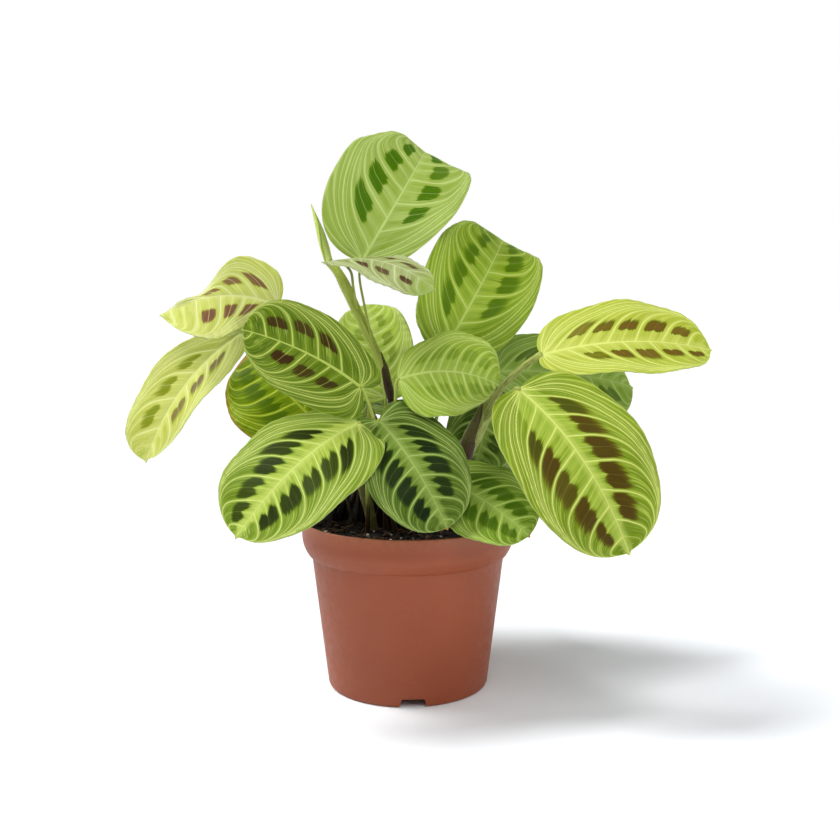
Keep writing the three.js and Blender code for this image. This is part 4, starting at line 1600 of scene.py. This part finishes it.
RISERS = [
    riser("leaf_centre", (0, -6), (-1, -16, 122), (-6, -25, 156)),
    riser("leaf_left_mid", (-12, -11), (-14, -24, 125), (-17, -32, 152)),
    riser("leaf_front_left", (-22, -15), (-22, -24, 122)),
    riser("leaf_front_mid", (-6, -19), (-16, -25, 124)),
    riser("leaf_right_low", (9, -15), (9, -20, 106)),
    riser("leaf_upper_right", (9, 1), (12, 2, 130), (14, 2, 160)),
    riser("leaf_centre_back", (-8, 12), (-12, 12, 125)),
    riser("leaf_back_left", (-17, 16), (-24, 17, 125)),
    riser("leaf_back_mid", (-4, 22), (-6, 26, 124)),
    riser("leaf_back_right", (22, 16), (31, 22, 126)),
    riser("leaf_back_high", (12, 12), (15, 17, 130), (18, 22, 165)),
    riser("leaf_back_low_left", (-14, 27), (-17, 30, 104)),
    riser("leaf_back_tall", (3, 18), (-3, 20, 120), (-12, 22, 150)),
    riser("leaf_back_low_right", (12, 26), (15, 31, 104)),
]


@dataclass
class RolledLeaf:
    """The young leaf at the end of the tall shoot, still rolled into a spike."""

    route: tuple[Point, ...] = (
        (-44.6, 13, 239.6), (-46.4, 13.8, 246), (-49.8, 15.2, 257.5), (-55, 17, 272.4),
    )
    radii: tuple[float, ...] = (2.5, 3.1, 2.8, 1.6, 0.25)
    turns: float = 1.7
    thickness: float = 1.0
    lanes: int = 72
    step: float = 0.8

    def build(self) -> bpy.types.Object:
        """Builds the roll: a sheet wound round the route, with its free edge on the outside.

        Returns:
            The finished piece.
        """
        line = spline(self.route, self.step)
        share = np.linspace(0, 1, len(line))
        radius = evenly(share, self.radii)[:, None]
        wind = np.linspace(0, 1, self.lanes)
        angle = 2 * np.pi * self.turns * wind + 2.4 * share[:, None]
        outer = radius * (0.42 + 0.58 * wind)
        inner = outer - np.minimum(self.thickness, 0.3 * radius)
        turn = np.concatenate([angle, angle[:, ::-1]], axis=1)
        reach = np.concatenate([outer, inner[:, ::-1]], axis=1)
        around = np.broadcast_to(np.concatenate([wind, wind[::-1]]) * 6, reach.shape)
        rings = rings_round(line, carried_frames(line, (0.6, -1, 0)), reach, turn)
        skin = Skin()
        skin.sweep(rings, around=around, along=share, knee=0.35 * share, tint=-0.6, stalk=9.0)
        piece = skin.make("leaf_rolled_spike", SPIKE.paint("rolled_leaf"))
        return settle(piece, "stem_green", "leaf_rolled")


# Soil and pot


@dataclass
class Soil:
    """Peat that fills the pot, with crumbs, bark splinters, fibres and white perlite in its top."""

    edge: float = 57.8
    wall: tuple[tuple[float, float], ...] = ((44.0, 6.3), (52.2, 73.0), (57.6, 83.0))
    lump: float = 1.1
    heap: float = 2.2
    rear_heap: float = 4.6
    brim: float = 94.4
    rings: int = 70
    sides: int = 200
    strands: int = 210
    strand_reach: float = 50.0
    fibre_count: int = 46
    fibre_reach: float = 54.0
    fibre_radius: float = 0.17
    seed: int = 41

    def height(self, x: np.ndarray, y: np.ndarray) -> np.ndarray:
        """Gives the level of the soil's top.

        Args:
            x: Places across the pot.
            y: Places front to back.

        Returns:
            The height in millimetres.
        """
        lumps = (
            np.sin(0.21 * x + 1.3) * np.cos(0.17 * y - 0.4)
            + 0.6 * np.sin(0.43 * x - 0.38 * y + 2)
            + 0.4 * np.cos(0.52 * y + 0.35 * x)
        )
        crumbs = 0.5 * np.sin(1.9 * x + 0.7 * np.sin(1.3 * y)) * np.sin(1.7 * y + np.sin(1.1 * x))
        grains = 0.3 * np.sin(4.3 * x + 2 * np.sin(2.9 * y)) * np.sin(3.9 * y + 2 * np.sin(3.1 * x))
        rise = self.heap + self.rear_heap * smooth((y + 8) / 45)
        fall = 1.6 * (np.hypot(x, y) / 60) ** 4
        return np.minimum(SOIL_LEVEL + rise - fall + 0.5 * self.lump * lumps + crumbs + grains, self.brim)

    def build(self) -> list[bpy.types.Object]:
        """Builds the peat and what lies in its top.

        Returns:
            The finished pieces.
        """
        turn = np.linspace(0, 2 * np.pi, self.sides, endpoint=False)
        radius = np.linspace(self.edge, 0.4, self.rings)[:, None]
        x, y = radius * np.cos(turn), radius * np.sin(turn)
        rings = [
            np.stack([reach * np.cos(turn), reach * np.sin(turn), np.full(self.sides, z)], axis=-1)
            for reach, z in self.wall
        ]
        skin = Skin()
        skin.sweep(np.array([*rings, *np.stack([x, y, self.height(x, y)], axis=-1)]))
        pieces = [settle(skin.make("peat", PEAT.paint("peat")), "peat_soil", "soil")]
        rng = np.random.default_rng(self.seed)
        for name, finish, count, sizes, shape in (
            ("peat_crumbs", CRUMB, 1500, (0.5, 1.5), (1, 0.8, 0.7)),
            ("bark_bits", BARK, 300, (1.4, 5.0), (1, 0.36, 0.22)),
            ("perlite", PERLITE, 60, (0.6, 1.4), (1, 0.85, 0.75)),
        ):
            pieces.append(self.scatter(name, finish, count, sizes, shape, rng))
        pieces.append(self.fibres(rng))
        pieces.append(self.dry_sheaths_and_shade_fill(rng))
        return pieces

    def dry_sheaths_and_shade_fill(self, rng: np.random.Generator) -> bpy.types.Object:
        """Stands the dry brown sheaths of old leaves round the crown of the plant; packed densely, their
        dark brown also stands as painted shade low in the crown and in front of the pot's rear rim.

        Args:
            rng: The source of random draws.

        Returns:
            The finished piece.
        """
        skin = Skin()
        t, lane = np.linspace(0, 1, 12), np.linspace(-1, 1, 7)
        for number in range(self.strands):
            turn, reach = rng.random() * 2 * math.pi, 20 * rng.random() ** 0.42
            foot = np.array([2.4 * reach * math.cos(turn) - 3, reach * math.sin(turn) + 22, SOIL_LEVEL - 1])
            foot[:2] *= min(1.0, self.strand_reach / math.hypot(foot[0], foot[1]))
            lean, bend, tall = rng.normal(0, 0.2, 2), rng.normal(0, 3.0, 2), rng.uniform(22, 40)
            way = [lean[0] * tall * t + bend[0] * t**2, lean[1] * tall * t + bend[1] * t**2, tall * t]
            line = foot + np.stack(way, axis=-1)
            frames = carried_frames(line, (math.cos(turn), math.sin(turn), 0.1))
            wide = rng.uniform(1.6, 3.4) * (1 - 0.85 * t**2)
            angle = np.concatenate([1.3 * lane, 1.3 * lane[::-1]]) + 0.4 * t[:, None]
            depth = np.repeat(np.array([0.0, 0.28]), len(lane))
            rings = rings_round(line, frames, np.maximum(wide[:, None] - depth, 0.05), angle)
            # Darkest at the foot: the dry sheaths' brown together with painted shade low in the crown
            skin.sweep(rings, around=angle, along=t, knee=0.0, tint=1.0 - 0.4 * t, stalk=number)
        return settle(skin.make("dry_sheaths_and_shade_fill", DRY_SHEATH.paint("dry_sheaths_and_shade_fill")), "stem_sheath")

    def scatter(
        self,
        name: str,
        finish: EarthFinish,
        count: int,
        sizes: tuple[float, float],
        shape: Point,
        rng: np.random.Generator,
    ) -> bpy.types.Object:
        """Scatters rough bits over the soil.

        Args:
            name: The piece's name.
            finish: Its finish.
            count: How many bits there are.
            sizes: The least and greatest half length of a bit.
            shape: A bit's proportions.
            rng: The source of random draws.

        Returns:
            The finished piece.
        """
        ball = bmesh.new()
        bmesh.ops.create_icosphere(ball, subdivisions=1 if count > 1000 else 2, radius=1.0)
        form = np.array([v.co[:] for v in ball.verts])
        faces = np.array([[v.index for v in f.verts] for f in ball.faces])
        ball.free()
        reach = (self.edge - 2) * np.sqrt(rng.random(count))
        turn = rng.random(count) * 2 * np.pi
        x, y = reach * np.cos(turn), reach * np.sin(turn)
        size = sizes[0] + (sizes[1] - sizes[0]) * rng.random(count) ** 2.2
        yaw, tip = rng.random(count) * 2 * np.pi, rng.normal(0, 0.3, count)
        bits = form[None] * np.array(shape) * (1 + rng.normal(0, 0.13, (count, len(form), 1)))
        bits = bits * size[:, None, None]
        lift = bits[..., 0] * np.sin(tip)[:, None]
        flat_x = bits[..., 0] * np.cos(yaw)[:, None] - bits[..., 1] * np.sin(yaw)[:, None]
        flat_y = bits[..., 0] * np.sin(yaw)[:, None] + bits[..., 1] * np.cos(yaw)[:, None]
        z = self.height(x, y) + size * shape[2] * 0.35
        points = np.stack([flat_x + x[:, None], flat_y + y[:, None], bits[..., 2] + lift + z[:, None]], -1)
        skin = Skin()
        index = faces[None] + (np.arange(count) * len(form))[:, None, None]
        skin.add(points.reshape(-1, 3), [tuple(f) for f in index.reshape(-1, 3).tolist()])
        return settle(skin.make(name, finish.paint(name)), "peat_soil")

    def fibres(self, rng: np.random.Generator) -> bpy.types.Object:
        """Scatters thin root fibres over the soil.

        Args:
            rng: The source of random draws.

        Returns:
            The finished piece.
        """
        skin = Skin()
        t = np.linspace(-0.5, 0.5, 9)
        spin = np.linspace(0, 2 * np.pi, 5, endpoint=False)
        for _ in range(self.fibre_count):
            reach, turn = self.fibre_reach * math.sqrt(rng.random()), rng.random() * 2 * math.pi
            x, y = reach * math.cos(turn), reach * math.sin(turn)
            bearing, bend = rng.random() * 2 * math.pi, rng.normal(0, 0.7)
            length = rng.uniform(4, 13)
            heading = bearing + bend * t * 2
            px, py = x + length * t * np.cos(heading), y + length * t * np.sin(heading)
            inside = np.minimum(1, (self.edge - 1.5) / np.maximum(np.hypot(px, py), 1e-6))
            px, py = px * inside, py * inside
            line = np.stack([px, py, self.height(px, py) + 0.5 + 0.7 * np.cos(t * np.pi)], axis=-1)
            skin.sweep(rings_round(line, carried_frames(line, (0, 0, 1)), self.fibre_radius, spin))
        return settle(skin.make("root_fibres", BARK.paint("root_fibres")), "peat_soil")


@dataclass
class Pot:
    """A moulded nursery pot: tapered body, wide rim band, foot ring, drain notches and holes."""

    height: float = 95.0
    rim_radius: float = 60.0
    rim_band: float = 12.0
    shoulder_height: float = 75.0
    shoulder_radius: float = 54.5
    foot_radius: float = 45.4
    wall: float = 1.5
    floor_underside: float = 4.4
    floor_thickness: float = 1.6
    foot_ring: float = 3.4
    pad_radius: float = 12.0
    notches: int = 3
    notch_turn: float = -86.0
    notch_size: tuple[float, float, float] = (10.2, 13.0, 5.0)
    holes: int = 6
    hole_radius: float = 4.0
    hole_circle: float = 29.0
    hole_cut: tuple[float, float] = (2.0, 8.0)
    sides: int = 176
    hole_sides: int = 40
    smooth_angle: float = 38.0

    def body_radius(self, z: float) -> float:
        """Gives the radius of the pot's outside at a height below the shoulder."""
        return self.foot_radius + (self.shoulder_radius - self.foot_radius) * z / self.shoulder_height

    def profile(self) -> np.ndarray:
        """Draws the closed section from the middle of the underside, out, up, over the lip and in.

        Returns:
            Rows of radius and height.
        """
        inner_foot = self.foot_radius - self.foot_ring
        band = self.height - self.rim_band
        floor = self.floor_underside + self.floor_thickness
        rim_in, body_in = self.rim_radius - self.wall - 0.2, self.shoulder_radius - self.wall
        corners = [
            (0.0, 0.0, 0), (self.pad_radius, 0, 0.4), (self.pad_radius + 1, self.floor_underside, 0.5),
            (inner_foot - 0.6, self.floor_underside, 0.5), (inner_foot, 0, 0.4),
            (self.foot_radius, 0, 2.2), (self.shoulder_radius, self.shoulder_height, 0.6),
            (self.shoulder_radius + 1.6, self.shoulder_height + 0.5, 0.6),
            (self.rim_radius, band - 1.5, 5.5), (self.rim_radius, self.height, 0.75),
            (rim_in, self.height, 0.6), (rim_in, band, 2.0),
            (body_in, self.shoulder_height - self.wall, 1.5),
            (self.body_radius(floor) - self.wall, floor, 2.5), (0, floor, 0),
        ]
        path = []
        for k, (x, z, radius) in enumerate(corners):
            here = np.array([x, z])
            if radius == 0:
                path.append(here)
                continue
            back = unit(np.array(corners[k - 1][:2]) - here)
            ahead = unit(np.array(corners[k + 1][:2]) - here)
            for t in np.linspace(0, 1, 7):
                path.append(here + radius * ((1 - t) ** 2 * back + t**2 * ahead))
        return np.array(path)

    def build(self) -> bpy.types.Object:
        """Turns the section, cuts the notches and the holes, and dresses the pot.

        Returns:
            The finished piece.
        """
        path = self.profile()
        turn = np.linspace(0, 2 * np.pi, self.sides, endpoint=False)
        reach, level = path[1:-1, 0], path[1:-1, 1]
        levels = np.outer(level, np.ones(self.sides))
        rings = np.stack([np.outer(reach, np.cos(turn)), np.outer(reach, np.sin(turn)), levels], axis=-1)
        outside = reach > self.foot_radius - 1
        # Painted highlight: a thin pale line along the lip and a fainter one at the foot of the rim band
        lip = np.exp(-(((level - self.height) / 0.9) ** 2))
        band = np.exp(-(((level - (self.height - self.rim_band - 1.5)) / 1.2) ** 2))
        dust = np.where(outside, 0.35 + 0.65 * smooth((level - 72) / 12), 1.0)
        skin = Skin()
        skin.sweep(rings, wear=np.clip(lip + 0.12 * band * outside, 0, 1), dust=dust)
        shell = skin.make("pot_shell", PotFinish().paint("pot_plastic"))
        self.cut(shell)
        shell.data.set_sharp_from_angle(angle=math.radians(self.smooth_angle))
        return settle(shell, "pot_plastic", "pot")

    def cut(self, shell: bpy.types.Object) -> None:
        """Cuts the drain notches and drain holes.

        Args:
            shell: The pot's shell, which keeps the cuts.
        """
        tools = Skin()
        depth, width, tall = self.notch_size
        half, start = width / 2, self.foot_radius - self.foot_ring - 2
        section = [(-half - 1, -1), (half + 1, -1), (half, tall - 1), (half - 1, tall), (1 - half, tall),
                   (-half, tall - 1)]
        for k in range(self.notches):
            angle = math.radians(self.notch_turn + 360 * k / self.notches)
            out = np.array([math.cos(angle), math.sin(angle), 0])
            across = np.array([-math.sin(angle), math.cos(angle), 0])
            ends = (out * start, out * (start + depth))
            tools.sweep(np.array([[end + across * a + UP * z for a, z in section] for end in ends]))
        spin = np.linspace(0, 2 * np.pi, self.hole_sides, endpoint=False)
        ring = np.stack([np.cos(spin), np.sin(spin), np.zeros(self.hole_sides)], axis=-1) * self.hole_radius
        for k in range(self.holes):
            angle = 2 * math.pi * k / self.holes
            middle = np.array([self.hole_circle * math.cos(angle), self.hole_circle * math.sin(angle), 0])
            tools.sweep(np.array([middle + ring + UP * z for z in self.hole_cut]))
        cutter = tools.make("pot_cutter")
        modifier = shell.modifiers.new("cut", "BOOLEAN")
        modifier.operation, modifier.solver, modifier.object = "DIFFERENCE", "EXACT", cutter
        bpy.context.view_layer.update()
        done = bpy.data.meshes.new_from_object(shell.evaluated_get(bpy.context.evaluated_depsgraph_get()))
        shell.modifiers.clear()
        shell.data = done
        bpy.data.objects.remove(cutter)


@dataclass
class Studio:
    """The pale floor, the soft lights and the camera."""

    lens_pixels: float = 1070.0
    picture: float = 840.0
    camera_at: Point = (6.9, -600.0, 216.0)
    camera_pitch: float = -6.2
    floor_reach: float = 30000.0
    floor_colour: Colour = (243.4, 246.3, 249.5)
    key_travel: Point = (0.66, -0.06, -1.0)
    key_strength: float = 3.25
    key_softness: float = 24.0
    fill_power: float = 3.8
    side_power: float = 1.3
    wall_light: float = 1.0
    ceiling_light: float = 0.27
    front_light: float = 0.45

    def build(self) -> None:
        """Makes the floor, the lights and the camera."""
        self.camera()
        self.floor()
        self.lights()

    def camera(self) -> None:
        """Places the camera where the photograph was taken from."""
        data = bpy.data.cameras.new("camera")
        data.sensor_width = 36.0
        data.lens = self.lens_pixels / self.picture * data.sensor_width
        data.clip_start, data.clip_end = 0.05, 100.0
        camera = placed("camera", data)
        camera.location = Vector(self.camera_at) * MM
        camera.rotation_euler = (math.radians(90 + self.camera_pitch), 0, 0)
        bpy.context.scene.camera = camera

    def floor(self) -> None:
        """Makes a plain pale floor."""
        r = self.floor_reach
        skin = Skin()
        skin.add(np.array([(-r, -r, 0), (r, -r, 0), (r, r, 0), (-r, r, 0)], float), [(0, 1, 2, 3)])
        p = Paint("studio_floor")
        p.set(base_color=self.floor_colour, roughness=0.9, specular_ior_level=0.1)
        skin.make("studio_floor", p.material)

    def lights(self) -> None:
        """Makes a broad key from the upper left, a weak soft fill and a pale surround."""
        data = bpy.data.lights.new("key_light", "SUN")
        data.energy = self.key_strength
        data.angle = math.radians(self.key_softness)
        key = placed("key_light", data)
        key.rotation_euler = Vector(self.key_travel).to_track_quat("-Z", "Y").to_euler()
        self.area("fill_light", at=(120, -750, 850), aim=(0, 0, 220), size=600, power=self.fill_power)
        self.area("side_light", at=(620, -420, 150), aim=(0, 0, 60), size=400, power=self.side_power)
        self.surround()
        bpy.context.scene.view_settings.view_transform = "Standard"

    def surround(self) -> None:
        """Makes the light from all round: white walls, a dimmer ceiling and a dimmer wall in front."""
        world = bpy.data.worlds.new("surround")
        world.use_nodes = True
        tree = world.node_tree
        place = tree.nodes.new("ShaderNodeTexCoord")
        split = tree.nodes.new("ShaderNodeSeparateXYZ")
        tree.links.new(place.outputs["Generated"], split.inputs[0])
        product = tree.nodes.new("ShaderNodeMath")
        product.operation = "MULTIPLY"
        ranges = ((0.25, 0.6, self.wall_light, self.ceiling_light), (-0.85, -0.1, self.front_light, 1.0))
        for axis, limits, target in zip("ZY", ranges, product.inputs):
            ramp = tree.nodes.new("ShaderNodeMapRange")
            ramp.interpolation_type = "SMOOTHSTEP"
            for socket, value in zip(list(ramp.inputs)[1:5], limits):
                socket.default_value = value
            tree.links.new(split.outputs[axis], ramp.inputs[0])
            tree.links.new(ramp.outputs[0], target)
        tree.links.new(product.outputs[0], tree.nodes["Background"].inputs["Strength"])
        tree.nodes["Background"].inputs["Color"].default_value = (1, 1, 1, 1)
        bpy.context.scene.world = world

    def area(self, name: str, at: Point, aim: Point, size: float, power: float) -> None:
        """Makes a square area light.

        Args:
            name: The light's name.
            at: Where it stands, in millimetres.
            aim: The point that it faces.
            size: The length of its side.
            power: Its power in watts.
        """
        data = bpy.data.lights.new(name, "AREA")
        data.size = size * MM
        data.energy = power
        light = placed(name, data)
        light.location = Vector(at) * MM
        light.rotation_euler = (Vector(aim) - Vector(at)).to_track_quat("-Z", "Y").to_euler()


def main() -> None:
    """Builds the pieces in order."""
    logging.basicConfig(level=logging.INFO, format="%(name)s: %(message)s")
    Studio().build()
    blades = {blade.name: blade for blade in BLADES}
    for number, blade in enumerate(BLADES, start=1):
        blade.build(number)
    for shoot in SHOOTS:
        shoot.build(blades)
    stem = StemFinish().paint("stem")
    for number, stalk in enumerate(RISERS):
        skin = Skin()
        stalk.add_to(skin, blades, RISER_STREAKS + number)
        node = stalk.blade.replace("leaf", "petiole")
        settle(skin.make(f"{node}_stalk", stem), "stem_green", node)
    RolledLeaf().build()
    Soil().build()
    Pot().build()
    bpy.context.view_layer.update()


if __name__ == "__main__":
    main()
